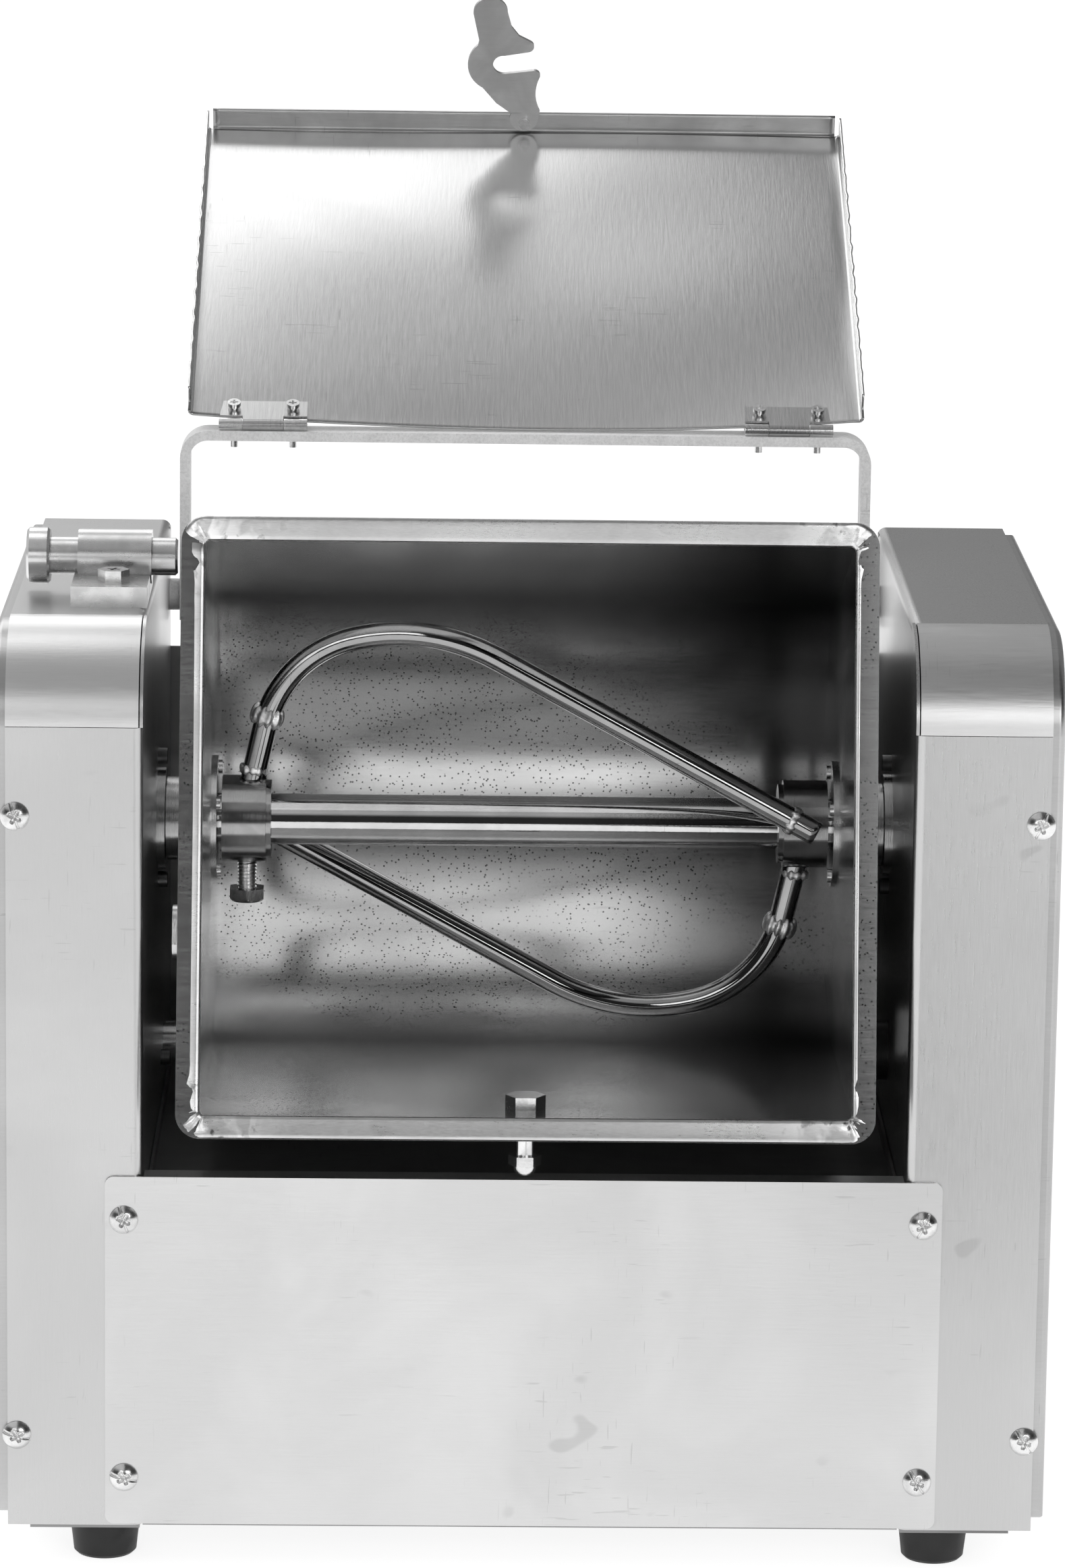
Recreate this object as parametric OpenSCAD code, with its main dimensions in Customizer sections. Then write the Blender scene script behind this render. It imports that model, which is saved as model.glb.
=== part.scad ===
// Small tilting dough mixer: a U-shaped steel tub swings on the main shaft between two side
// housings, a two-armed ribbon agitator turns inside it, and a hinged lid hooks onto the tub.
// Millimetres. Origin on the floor under the middle of the machine, +X to its right,
// +Y to its back, +Z up. At rest the tub is tipped forward and the lid leans back.

/* [Housings] */
// Width over the two side covers
overall_w = 500; // [470:1:540]
// Depth of a side housing, front sheet to rear sheet
housing_d = 311; // [305:1:330]
// Height of the housings' top above the floor
housing_top = 453.2; // [440:0.1:470]
// Width of a side housing with its cover
housing_w = 70; // [68:1:76]
// Thickness of the housing sheet
sheet_t = 1.5; // [1:0.1:2]
// Outer radius of the curved corner at the top front
corner_r = 45; // [30:1:60]
// Outer radius of the bend between a front sheet and its inner wall
bend_r = 4.5; // [3:0.1:7]
// How far a side cover stands out past the housing's front sheet
cover_proud = 6; // [4:0.5:9]
// Radius of the side cover's folded edge
cover_bend_r = 3; // [2:0.1:3.5]
// Depth of a side cover's flange, measured from its face
cover_depth = 22; // [16:1:26]
// Gap in the seams between neighbouring sheets
seam_gap = 0.6; // [0.4:0.1:1]
// Height of the rubber feet
foot_h = 18.7; // [14:0.1:24]
// Diameter of a foot where it meets the housing
foot_d = 34; // [28:1:38]
// Diameter of a foot on the floor
foot_low_d = 30; // [24:1:34]
// Distance of the feet's centres out from the housing's inner wall
foot_out = 17.5; // [17.5:0.5:22]
// Distance of a foot's centre in from the front or the rear sheet
foot_inset = 25; // [22:1:40]
// Thickness of the plate between the feet and the housing
foot_plate_t = 2; // [1.5:0.1:3]

/* [Panels] */
// Height of the front panel's top edge above the floor
panel_top = 192.7; // [188:0.1:194]
// How far the front and rear panels lap over each housing
panel_lap = 17.7; // [15:0.1:22]
// Height of the rear panel's top edge above the floor
rear_panel_top = 387.7; // [370:0.1:395]
// Height of the drip tray's floor above the floor
tray_z = 172; // [169:0.5:175]
// Diameter of a truss screw's head
screw_head_d = 13.6; // [12:0.1:15]
// Height of a truss screw's head
screw_head_h = 3.4; // [2.6:0.1:4]
// Diameter of a truss screw's thread
screw_d = 6; // [5:0.1:6.5]

/* [Tub] */
// Distance of the tub's swing axis behind the middle of the machine
axis_y = 9.5; // [6:0.1:12]
// Distance of the swing axis below the housings' top
axis_drop = 123.5; // [120:0.1:127]
// Room between the tub's inner side and the housing's inner wall
side_room = 27; // [26:0.5:32]
// Inner radius of the tub's round bottom
tub_bend_r = 110; // [106:0.5:112]
// Height of the tub's mouth over the swing axis, when upright
mouth_h = 154; // [150:0.5:157]
// Reach of the mouth's inner edge behind the axis
rear_reach = 126; // [120:0.5:128]
// Reach of the mouth's inner edge in front of the axis
front_reach = 143.5; // [138:0.5:145]
// Thickness of the tub's sheet
tub_t = 1.5; // [1.2:0.1:2]
// Width of the rim that is folded out round the mouth
rim_w = 11; // [9:0.5:12]
// Thickness of the ground rim
rim_t = 2; // [1.5:0.1:2.4]
// Radius of the rim's outer corners
rim_corner_r = 11.5; // [8:0.5:14]
// Angle that the tub is tipped forward from upright at rest
tilt = 76; // [70:1:78]
// Length of the catch bolt past the tub's wall, to the tip of its nut
catch_len = 33.2; // [33:0.1:35]
// Diameter of the catch bolt
catch_d = 9; // [8:0.1:9.5]
// Distance of the catch bolt's hole below the mouth, along the tub
catch_drop = 22.4; // [21:0.1:24]

/* [Agitator] */
// Diameter of the main shaft
shaft_d = 25; // [22:0.5:26]
// Diameter of the clamp collar and of the drive hub
hub_d = 43; // [40:0.5:45]
// Length of the clamp collar and of the drive hub
hub_len = 24; // [22:0.5:26]
// Gap between a hub and the side of the tub
hub_gap = 4.6; // [4.4:0.1:6]
// Diameter of an arm's round bar
arm_d = 12; // [10:0.5:13]
// Greatest height of an arm's centre line over the shaft's axis
arm_reach = 94.4; // [88:0.1:97]
// Radius of the long bend at the top of an arm
arm_main_r = 99; // [90:1:110]
// Radius of the tight bend at the arm's shoulder
arm_shoulder_r = 59; // [50:1:62]
// Distance of the arm's highest place in from the end of the hub
arm_peak_in = 64.4; // [60:0.2:74]
// Angle along the long bend at which the shoulder begins
shoulder_deg = 14.6; // [10:0.1:20]
// Clearance all round a shaft or pin that turns in a bore
run_gap = 0.05; // [0.02:0.01:0.1]

/* [Lid] */
// Gap between the lid's side and the housing's inner wall
lid_side_gap = 9; // [8.5:0.5:12]
// Thickness of the lid's sheet
lid_t = 1.2; // [1:0.1:1.5]
// Depth of the lid's folded edges
lid_flange = 12.5; // [10:0.5:13]
// Radius of the lid's folds
lid_bend_r = 2.6; // [2:0.1:3]
// Angle of the open lid over the level, leaning back
lid_lean = 24; // [20:1:30]
// Width of the flat bar that carries the lid
bar_w = 20; // [18:0.5:21]
// Thickness of that flat bar
bar_t = 5; // [4:0.1:5.5]
// Inner radius of the bar's two corners
bar_corner_r = 9; // [7:0.5:11]
// Distance of the bar's rear edge in from the housings' rear
bar_inset = 1; // [0.5:0.5:4]
// Gap between the bar's legs and the inner walls
bar_gap = 5.2; // [4:0.1:5.5]
// Distance of the foot of the bar's legs below the housings' top
bar_leg_drop = 48; // [40:1:56]
// Diameter of a hinge barrel
barrel_d = 6; // [5:0.1:6.5]
// Length of a hinge along its pin
hinge_len = 44.5; // [40:0.5:48]
// Diameter of a hinge pin
hinge_pin_d = 3; // [2.6:0.1:3.4]
// Distance of a hinge's middle in from the outside of the bar
hinge_in = 41.8; // [39:0.1:54]
// Thickness of a hinge leaf
leaf_t = 1.2; // [1:0.1:1.4]

/* [Latch] */
// Thickness of the latch hook's plate
hook_t = 2; // [1.6:0.1:2.2]
// Width of the hook's slot
hook_slot = 11.2; // [11:0.1:12]
// Sideways distance from the pivot to the slot's closed end, as the hook hangs
hook_side = 11.8; // [11:0.1:13]
// Height of the hook's pivot below the closed lid's inner face
pivot_drop = 6.5; // [6.4:0.1:6.8]

/* [Lock pin] */
// Diameter of the lock pin
pin_d = 18; // [16:0.5:19]
// Distance of the pin's axis behind the lower seam of the curved corner
pin_back = 62; // [58:0.5:70]
// Distance of the pin's axis below the mouth of the upright tub
lock_drop = 13.5; // [13:0.1:14]
// Outer diameter of the sleeve that guides the pin
sleeve_d = 26; // [24:0.5:28]
// Outer diameter of the boss on the tub that the pin enters
boss_d = 26; // [24:0.5:27]
// Diameter of the pin's knob
knob_d = 27; // [24:0.5:30]
// Travel of the pin into the boss
pin_travel = 11; // [9:0.5:11.5]

/* [Drive] */
// Gear module, the pitch diameter for each tooth
gear_module = 4; // [3.9:0.05:4]
// Teeth of the main gear
main_teeth = 54; // [48:1:54]
// Teeth of the pinion
pinion_teeth = 18; // [16:1:18]
// Width of the gears' teeth
gear_w = 18; // [14:1:20]
// Distance of the jackshaft in front of the housings' rear
jack_back = 83; // [80:0.5:86]
// Diameter of the jackshaft
jack_d = 20; // [18:0.5:22]
// Pitch diameter of the large belt pulley
pulley_d = 144; // [138:1:146]
// Ratio of the large pulley to the motor's pulley
belt_ratio = 3; // [2.8:0.1:3.2]
// Diameter of the motor's body
motor_d = 118; // [110:1:120]
// Length of the motor's body
motor_len = 180; // [160:1:190]
// Diameter of the motor's shaft
motor_shaft_d = 16; // [14:0.5:18]
// Distance of the motor's axis in front of the middle of the machine
motor_y = 5.5; // [2:0.5:10]

/* [Controls] */
// Diameter of a push button's cap
button_d = 22; // [20:0.5:24]
// Travel of a push button
button_travel = 4; // [3:0.5:5]
// Height of the buttons above the floor
button_z = 110; // [100:1:125]
// Distance between the two buttons
button_pitch = 44; // [38:1:50]

/* [Hidden] */

$fn = 64;
over = 1;
half_turn = 180;

// Places on the housings
half_w = overall_w / 2;
shell_x = half_w - cover_proud;
inner_gap = overall_w - 2 * housing_w;
wall_x = inner_gap / 2;
wall_back = wall_x + sheet_t;
front_y = -housing_d / 2;
rear_y = housing_d / 2;
base_z = foot_h + foot_plate_t;
seam_z = housing_top - corner_r;
seam_y = front_y + corner_r;
cover_gap = 0.3;
side_gap = 0.4;
cover_x = shell_x - cover_depth + cover_proud;
cover_lift = 2.5;
cover_corner_r = 7;
foot_x = wall_back + foot_out;

// Places on the tub, in its own upright frame: x across, y to the back, z up from the axis
axis_z = housing_top - axis_drop;
tub_in_w = inner_gap - 2 * side_room;
tub_half = tub_in_w / 2;
tub_out = tub_half + tub_t;
front_lean = acos(tub_bend_r / norm([mouth_h, front_reach])) - atan2(mouth_h, front_reach);
rear_lean = acos(tub_bend_r / norm([mouth_h, rear_reach])) - atan2(mouth_h, rear_reach);
rear_lip = rear_reach + rim_w;
front_lip = front_reach + rim_w;
rim_half = tub_half + rim_w;
lip_clear = 3;
catch_w = (tub_bend_r + (mouth_h - catch_drop) * sin(front_lean)) / cos(front_lean);

// The lid's bar just clears the rim's rear lip as the tub swings
bar_y = rear_y - bar_inset - bar_w;
bar_z = axis_z + sqrt(pow(norm([mouth_h, rear_lip]) + lip_clear, 2) - pow(bar_y - axis_y, 2));
bar_half = wall_x - bar_gap;
hinge_x = bar_half - hinge_in;
hinge_y = bar_y + barrel_d / 2;
leaf_gap = 0.2;
hinge_z = bar_z + bar_t + barrel_d / 2 + leaf_gap;
leaf_w = 17;
leaf_screw_y = 11;
leaf_screw_x = hinge_len / 3;
knuckle_gap = 0.3;
knuckle_mid = hinge_len * 0.46;

// The lid in its closed place, measured from the hinge pin
lid_w = inner_gap - 2 * lid_side_gap;
lid_front_gap = 6.5;
lid_len = hinge_y - (axis_y - front_lip - lid_front_gap);
lid_top = -barrel_d / 2;
lid_under = lid_top - lid_t;
lid_rear_gap = 3.3;
lid_rear_notch = 7;
lid_swing = 180 - lid_lean;
hook_gap = 0.3;
pivot_z = lid_under - pivot_drop;
hook_y = -lid_len + lid_t + hook_gap;
hook_mid_w = axis_y - (hinge_y + hook_y + hook_t / 2);
catch_u = mouth_h - catch_drop - (hook_mid_w - catch_w) * tan(front_lean);
hook_reach = hinge_z + pivot_z - axis_z - catch_u;
hook_drop = sqrt(hook_reach * hook_reach - hook_side * hook_side);

// The lock pin and the block that guides it
pin_z = axis_z + mouth_h - lock_drop;
pin_rise = 7;
pin_y = -seam_y - pin_back;
block_t = pin_z - pin_rise - housing_top;
sleeve_len = 35.1;
sleeve_in = wall_x + side_gap;
sleeve_out = sleeve_in + sleeve_len;
pin_tip_gap = 1.5;
boss_len = 12;
pin_tip = tub_out + boss_len + pin_tip_gap;
knob_t = 11;
knob_gap = 13.5;
knob_in = sleeve_out + knob_gap;
pin_fit = 0.25;
boss_wall = 1.2;

// Bearings, bushes and discs on the main shaft
shaft_r = shaft_d / 2;
bolt_reach = 31;
bearing_flange_t = 8;
bearing_boss_t = 9;
bearing_r = 26;
bearing_end_r = 10.5;
disc_r = 25;
disc_t = 4;
bush_flange_r = 32;
bush_flange_t = 5;
bush_nose_r = 20.5;
seal_t = 2.4;
seal_r = 31;
seal_screw_ring = 26.4;

// The agitator
hub_r = hub_d / 2;
hub_x = tub_half - hub_gap - hub_len;
arm_peak_x = hub_x - arm_peak_in;
arm_foot_x = hub_x + hub_len * 0.42;
arm_end_x = hub_x + hub_len * 0.78;
arm_r = arm_d / 2;
weld_sink_share = 0.45;
arm_front = hub_r + arm_r * weld_sink_share;
collar_bolt_d = 10;
collar_bolt_len = 13;

// The gear train
gear_x = wall_back + bearing_flange_t + bearing_boss_t + side_gap * 2;
main_pitch_r = gear_module * main_teeth / 2;
pinion_pitch_r = gear_module * pinion_teeth / 2;
gear_backlash = 0.16;
centre_gap = 0.05;
centre_d = main_pitch_r + pinion_pitch_r + centre_gap;
jack_y = rear_y - jack_back;
jack_deg = acos((jack_y - axis_y) / centre_d);
jack_z = axis_z - centre_d * sin(jack_deg);
jack_r = jack_d / 2;
pulley_w = 18;
pulley_x = gear_x + side_gap * 4;
belt_t = 6;
belt_w = 9;
belt_gap = 0.3;
groove_depth = 9;
motor_room = 18;
motor_in = 30;
motor_z = tray_z - motor_d / 2 - motor_room;
motor_r = motor_d / 2;
motor_left = wall_x - motor_in;
motor_pulley_r = pulley_d / belt_ratio / 2;

// Points of an arc in n steps between two angles
function arc(c, r, a0, a1, n) =
    [for (i = [0:n]) let (a = a0 + (a1 - a0) * i / n) c + r * [cos(a), sin(a)]];

// General shapes

module tube(r_out, r_in, h) {
    difference() {
        cylinder(r = r_out, h = h);
        translate([0, 0, -over]) cylinder(r = r_in, h = h + 2 * over);
    }
}

// Turns something that stands along z so that it lies along +x
module along_x() {
    rotate([0, 90, 0]) children();
}

// Turns something that stands along z so that it points to the front, -y
module to_front() {
    rotate([90, 0, 0]) children();
}

// Extrudes a drawing of y and z along x
module side_profile(len) {
    rotate([90, 0, 90]) linear_extrude(len) children();
}

// Puts a piece on the right side, or its mirror image on the left
module on_side(side) {
    mirror([side < 0 ? 1 : 0, 0, 0]) children();
}

module both_sides() {
    for (side = [-1, 1]) on_side(side) children();
}

// A rectangle with its own radius at each corner: low-low, high-low, high-high, low-high
module round_rect(x0, y0, x1, y1, r) {
    difference() {
        translate([x0, y0]) square([x1 - x0, y1 - y0]);
        corner_waste(x0, y0, 1, 1, r[0]);
        corner_waste(x1, y0, -1, 1, r[1]);
        corner_waste(x1, y1, -1, -1, r[2]);
        corner_waste(x0, y1, 1, -1, r[3]);
    }
}

// What a rounded corner leaves out of a square one
module corner_waste(x, y, sx, sy, r) {
    if (r > 0)
        translate([x, y])
            difference() {
                translate([sx > 0 ? -over : -r, sy > 0 ? -over : -r]) square(r + over);
                translate([sx * r, sy * r]) circle(r);
            }
}

// Section of a sheet bent by a right angle about the origin's quadrant, legs a along x and b along y
module bent_sheet(a, b, t, r) {
    translate([r, 0]) square([a - r, t]);
    translate([0, r]) square([t, b - r]);
    intersection() {
        translate([r, r]) difference() {
            circle(r);
            circle(r - t);
        }
        square(r);
    }
}

// A truss head screw that points along -z, its head's flat side at z = 0
module truss_screw(len) {
    cap_r = (pow(screw_head_d / 2, 2) + pow(screw_head_h, 2)) / (2 * screw_head_h);
    slot_w = screw_d / 5;
    difference() {
        union() {
            intersection() {
                translate([0, 0, screw_head_h - cap_r]) sphere(cap_r);
                cylinder(r = screw_head_d, h = screw_head_h);
            }
            translate([0, 0, -len]) cylinder(d = screw_d, h = len + screw_head_h / 4);
        }
        for (a = [45, 135])
            rotate(a) translate([0, 0, screw_head_h])
                cube([screw_d, slot_w, screw_head_h], center = true);
    }
}

// A hexagon head or nut of a given width across its flats, standing on z = 0
module hexagon(flats, h) {
    cylinder(d = flats / cos(30), h = h, $fn = 6);
}

module hex_bolt(flats, head_h, d, len) {
    hexagon(flats, head_h);
    translate([0, 0, -len]) cylinder(d = d, h = len + head_h / 2);
}

// Housings

// Outline of a housing in y and z, drawn in by off from its sheets
module housing_outline(off, lift = 0, small_r = 0) {
    difference() {
        round_rect(front_y + off, base_z + off + lift, rear_y - off, housing_top - off,
            [small_r, small_r, small_r, 0]);
        translate([front_y - over, seam_z]) square([corner_r + over, corner_r + over]);
    }
    translate([seam_y, seam_z]) intersection() {
        circle(corner_r - off);
        translate([-corner_r, 0]) square(corner_r);
    }
}

// Inner wall, front, top, rear and bottom sheets of the right housing
module inner_shell() {
    front_len = seam_z - seam_gap / 2 - base_z;
    top_len = rear_y - bend_r - seam_y - seam_gap / 2;
    reach = shell_x - wall_x;
    difference() {
        union() {
            translate([wall_x, 0, 0]) side_profile(sheet_t) intersection() {
                housing_outline(0);
                union() {
                    translate([front_y + bend_r, base_z])
                        square([housing_d - 2 * bend_r, housing_top - bend_r - base_z]);
                    translate([front_y, seam_z]) square([corner_r, corner_r]);
                }
            }
            translate([wall_x, front_y, base_z]) linear_extrude(front_len)
                bent_sheet(reach, 2 * bend_r, sheet_t, bend_r);
            translate([wall_x, rear_y, base_z]) mirror([0, 1, 0])
                linear_extrude(housing_top - base_z - sheet_t - seam_gap)
                    bent_sheet(reach, 2 * bend_r, sheet_t, bend_r);
            translate([wall_x, rear_y, housing_top]) rotate([90, 0, 0]) mirror([0, 1, 0])
                linear_extrude(rear_y - seam_y - seam_gap / 2)
                    bent_sheet(reach, 2 * bend_r, sheet_t, bend_r);
            translate([wall_x + bend_r, front_y + sheet_t / 2, base_z])
                cube([reach - bend_r, housing_d - sheet_t, sheet_t]);
        }
        // main bearing's seat and bolt holes
        translate([wall_x - over, axis_y, axis_z]) along_x() {
            cylinder(r = shaft_r + side_gap, h = sheet_t + 2 * over);
            for (s = [-1, 1]) translate([s * bolt_reach, 0, 0])
                cylinder(r = bearing_bolt_r, h = sheet_t + 2 * over);
        }
        // jackshaft's passage and bolt holes
        translate([wall_x - over, jack_y, jack_z]) along_x() {
            cylinder(r = jack_r + side_gap, h = sheet_t + 2 * over);
            rotate(90) for (s = [-1, 1]) translate([s * bolt_reach, 0, 0])
                cylinder(r = bearing_bolt_r, h = sheet_t + 2 * over);
        }
        // lid bar's bolt
        translate([wall_x - over, bar_bolt_y, bar_bolt_z]) along_x()
            cylinder(r = bar_bolt_r, h = sheet_t + 2 * over);
        // screws of the side cover and of the two panels
        for (z = cover_screw_z) for (y = [front_y - over, rear_y - sheet_t - over])
            translate([cover_screw_x, y, z]) mirror([0, 1, 0]) to_front()
                cylinder(d = screw_d, h = sheet_t + 2 * over);
        for (z = panel_screw_z) for (y = [front_y - over, rear_y - sheet_t - over])
            translate([panel_screw_x, y, z]) mirror([0, 1, 0]) to_front()
                cylinder(d = screw_d, h = sheet_t + 2 * over);
    }
}

bearing_bolt_r = 4;
bar_bolt_r = 4;
bar_bolt_y = bar_y + bar_w / 2;
bar_bolt_z = housing_top - bar_leg_drop + bar_w / 2 + sheet_t;
cover_screw_x = shell_x - cover_depth / 5;
panel_screw_x = wall_x + panel_lap / 2;
cover_screw_up = 44.5;
cover_screw_drop = 87.6;
panel_screw_up = 24.3;
panel_screw_drop = 20.9;
cover_screw_z = [base_z + cover_screw_up, housing_top - cover_screw_drop];
panel_screw_z = [base_z + panel_screw_up, panel_top - panel_screw_drop];

module left_inner_shell() {
    color("silver") on_side(-1) difference() {
        inner_shell();
        translate([wall_x - over, -motor_y, motor_z]) along_x()
            cylinder(d = motor_shaft_d + 8 * side_gap, h = sheet_t + 2 * over);
    }
}

module right_inner_shell() {
    color("silver") inner_shell();
}

// Curved sheet over the top front corner
module corner_cap() {
    start = wall_back + seam_gap;
    translate([start, seam_y, seam_z]) along_x() rotate([0, 0, 180])
        rotate_extrude(angle = 90) translate([corner_r - sheet_t, 0])
            square([sheet_t, shell_x - start]);
}

module left_corner_cap() {
    color("gainsboro") on_side(-1) corner_cap();
}

module right_corner_cap() {
    color("gainsboro") corner_cap();
}

// A block in the shape of the side cover, its edges rounded, drawn in by off
module cover_block(off) {
    r = cover_bend_r - off;
    in = sheet_t + cover_gap + off;
    y0 = front_y + in;
    y1 = rear_y - in;
    z0 = base_z + cover_lift + in;
    z1 = housing_top - in;
    x0 = cover_x - (off > 0 ? over : 0);
    x1 = half_w - off;
    big_r = corner_r - in;
    intersection() {
        difference() {
            translate([x0, 0, 0]) side_profile(x1 - x0)
                round_rect(y0, z0, y1, z1,
                    [cover_corner_r - off, cover_corner_r - off, cover_corner_r - off, 0]);
            translate([x0 - over, y0 - over, seam_z])
                cube([x1 - x0 + 2 * over, seam_y - y0 + over, z1]);
        }
        translate([0, 0, z0]) linear_extrude(z1 - z0)
            round_rect(x0, y0, x1, y1, [0, r, r, 0]);
        translate([0, y1, 0]) rotate([90, 0, 0]) linear_extrude(y1 - y0)
            round_rect(x0, z0, x1, z1, [0, r, r, 0]);
    }
    translate([x0, seam_y, seam_z]) along_x() rotate([0, 0, 180])
        rotate_extrude(angle = 90) round_rect(0, 0, big_r, x1 - x0, [0, 0, r, 0]);
}

module side_cover() {
    difference() {
        cover_block(0);
        cover_block(sheet_t);
        for (z = cover_screw_z) translate([cover_screw_x, front_y + over, z]) to_front()
            translate([0, 0, -housing_d]) cylinder(d = screw_d, h = housing_d + over);
    }
}

module left_side_cover() {
    color("darkgray") on_side(-1) side_cover();
}

button_places = [-button_pitch / 2, button_pitch / 2];
button_y = -60;
button_hole_r = button_d / 2 + side_gap;

module right_side_cover() {
    color("darkgray") difference() {
        side_cover();
        for (p = button_places) translate([half_w - sheet_t - over, button_y + p, button_z]) along_x()
            cylinder(r = button_hole_r, h = sheet_t + 2 * over);
    }
}

// Sheet between the housings at the front, folded in along its top and its bottom
panel_r = 4;
panel_fold = 12;
panel_half = wall_x + panel_lap;
panel_drop = 1.2;

module panel_plate(z1) {
    to_front() linear_extrude(sheet_t)
        round_rect(-panel_half, base_z + panel_drop, panel_half, z1, [panel_r, panel_r, panel_r, panel_r]);
}

module panel_holes() {
    for (x = [-panel_screw_x, panel_screw_x]) for (z = panel_screw_z)
        translate([x, over, z]) to_front() cylinder(d = screw_d, h = sheet_t + 2 * over);
}

module front_panel() {
    fold_half = wall_x - side_gap;
    color("whitesmoke") difference() {
        translate([0, front_y, 0]) {
            panel_plate(panel_top);
            translate([-fold_half, -sheet_t / 2, panel_top - sheet_t])
                cube([2 * fold_half, panel_fold, sheet_t]);
        }
        translate([0, front_y, 0]) panel_holes();
    }
}

vent_w = 70;
vent_h = 4;
vent_pitch = 12;
vent_rows = 6;
vent_in = 95;
vent_x = wall_x - vent_in;

module rear_panel() {
    color("silver") difference() {
        translate([0, rear_y + sheet_t, 0]) panel_plate(rear_panel_top);
        translate([0, rear_y + sheet_t, 0]) panel_holes();
        for (s = [-1, 1]) for (i = [0:vent_rows - 1])
            translate([s * vent_x, rear_y - over, motor_z + (i - vent_rows / 2) * vent_pitch])
                vent_slot();
        translate([gland_x, rear_y - over, gland_z]) mirror([0, 1, 0]) to_front()
            cylinder(r = gland_r, h = sheet_t + 2 * over);
    }
}

// A slot with round ends that runs along x and is cut to the back
module vent_slot() {
    r = vent_h / 2;
    mirror([0, 1, 0]) to_front() linear_extrude(sheet_t + 2 * over) {
        square([vent_w - vent_h, vent_h], center = true);
        for (s = [-1, 1]) translate([s * (vent_w / 2 - r), 0]) circle(r, $fn = 32);
    }
}

gland_in = 40;
gland_x = gland_in - wall_x;
gland_z = 62;
gland_r = 8;

module base_pan() {
    color("dimgray") translate([-wall_x, front_y + seam_gap, base_z])
        cube([inner_gap, housing_d - 2 * seam_gap, sheet_t]);
}

tray_front = 15;
tray_lip = 8;

module drip_tray() {
    half = wall_x - side_gap;
    len = housing_d - tray_front - 2 * seam_gap;
    color("gray") translate([-half, front_y + tray_front, tray_z]) {
        cube([2 * half, len, sheet_t]);
        for (x = [0, 2 * half - sheet_t]) translate([x, 0, 0]) cube([sheet_t, len, tray_lip]);
        for (y = [0, len - sheet_t]) translate([0, y, 0]) cube([2 * half, sheet_t, tray_lip]);
    }
}

foot_places = [front_y + foot_inset, rear_y - foot_inset];

module foot_plates() {
    width = 52;
    inset = 2;
    color("gray") both_sides() difference() {
        translate([wall_x + sheet_t, front_y + inset, foot_h])
            cube([width, housing_d - 2 * inset, foot_plate_t]);
        for (y = foot_places) translate([foot_x, y, foot_h - over])
            cylinder(d = foot_bolt_d, h = foot_plate_t + 2 * over);
    }
}

foot_bolt_d = 8;
foot_edge = 1.5;

module feet() {
    color("black") both_sides() for (y = foot_places) translate([foot_x, y, 0]) {
        rotate_extrude() foot_section();
        translate([0, 0, foot_h - over]) cylinder(d = foot_bolt_d, h = foot_plate_t + over);
    }
}

// Half section of a rubber foot, with a small chamfer round its base
module foot_section() {
    polygon([[0, 0], [foot_low_d / 2 - foot_edge, 0], [foot_low_d / 2, foot_edge],
        [foot_d / 2, foot_h], [0, foot_h]]);
}

module panel_screws() {
    len = 9;
    color("white") both_sides() for (z = panel_screw_z) {
        translate([panel_screw_x, front_y - sheet_t, z]) to_front() truss_screw(len);
        translate([panel_screw_x, rear_y + sheet_t, z]) mirror([0, 1, 0]) to_front() truss_screw(len);
    }
}

module cover_screws() {
    len = 9;
    color("white") both_sides() for (z = cover_screw_z) {
        translate([cover_screw_x, front_y, z]) to_front() truss_screw(len);
        translate([cover_screw_x, rear_y, z]) mirror([0, 1, 0]) to_front() truss_screw(len);
    }
}

// Lid bar and hinges

module lid_bracket() {
    leg_z = housing_top - bar_leg_drop;
    outer_r = bar_corner_r + bar_t;
    top_z = bar_z + bar_t;
    color("lightgray") difference() {
        translate([0, bar_y + bar_w, 0]) rotate([90, 0, 0]) linear_extrude(bar_w) difference() {
            round_rect(-bar_half, leg_z, bar_half, top_z, [0, 0, outer_r, outer_r]);
            round_rect(-bar_half + bar_t, leg_z - over, bar_half - bar_t, bar_z,
                [0, 0, bar_corner_r, bar_corner_r]);
        }
        both_sides() translate([bar_half - bar_t - over, bar_bolt_y, bar_bolt_z]) along_x()
            cylinder(r = bar_bolt_r, h = bar_t + 2 * over);
        hinge_places() for (s = [-1, 1]) translate([s * leaf_screw_x, leaf_screw_y, -barrel_d])
            translate([0, 0, -bar_t]) cylinder(d = leaf_screw_d, h = 2 * bar_t);
    }
}

leaf_screw_d = 4;

// Puts a piece at each hinge, measured from the middle of its pin
module hinge_places() {
    for (s = [-1, 1]) translate([s * hinge_x, hinge_y, hinge_z]) children();
}

module bracket_bolts() {
    head = 5.3;
    flats = 13;
    nut_room = 8;
    inner_len = bar_t + bar_gap + sheet_t + nut_room;
    color("lightgray") both_sides() translate([bar_half - bar_t, bar_bolt_y, bar_bolt_z])
        rotate([0, -90, 0]) {
            hex_bolt(flats, head, 2 * bar_bolt_r, inner_len);
            translate([0, 0, -inner_len]) hexagon(flats, nut_room - side_gap / 2);
        }
}

module bracket_spacers() {
    color("lightgray") both_sides() translate([bar_half, bar_bolt_y, bar_bolt_z]) along_x()
        tube(2 * bar_bolt_r, bar_bolt_r, bar_gap);
}

// Barrel pieces of a hinge: the two ends belong to the bar's leaf, the middle to the lid's
module knuckle(x0, x1, bore_r) {
    translate([x0, 0, 0]) along_x() tube(barrel_d / 2, bore_r, x1 - x0);
}

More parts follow.
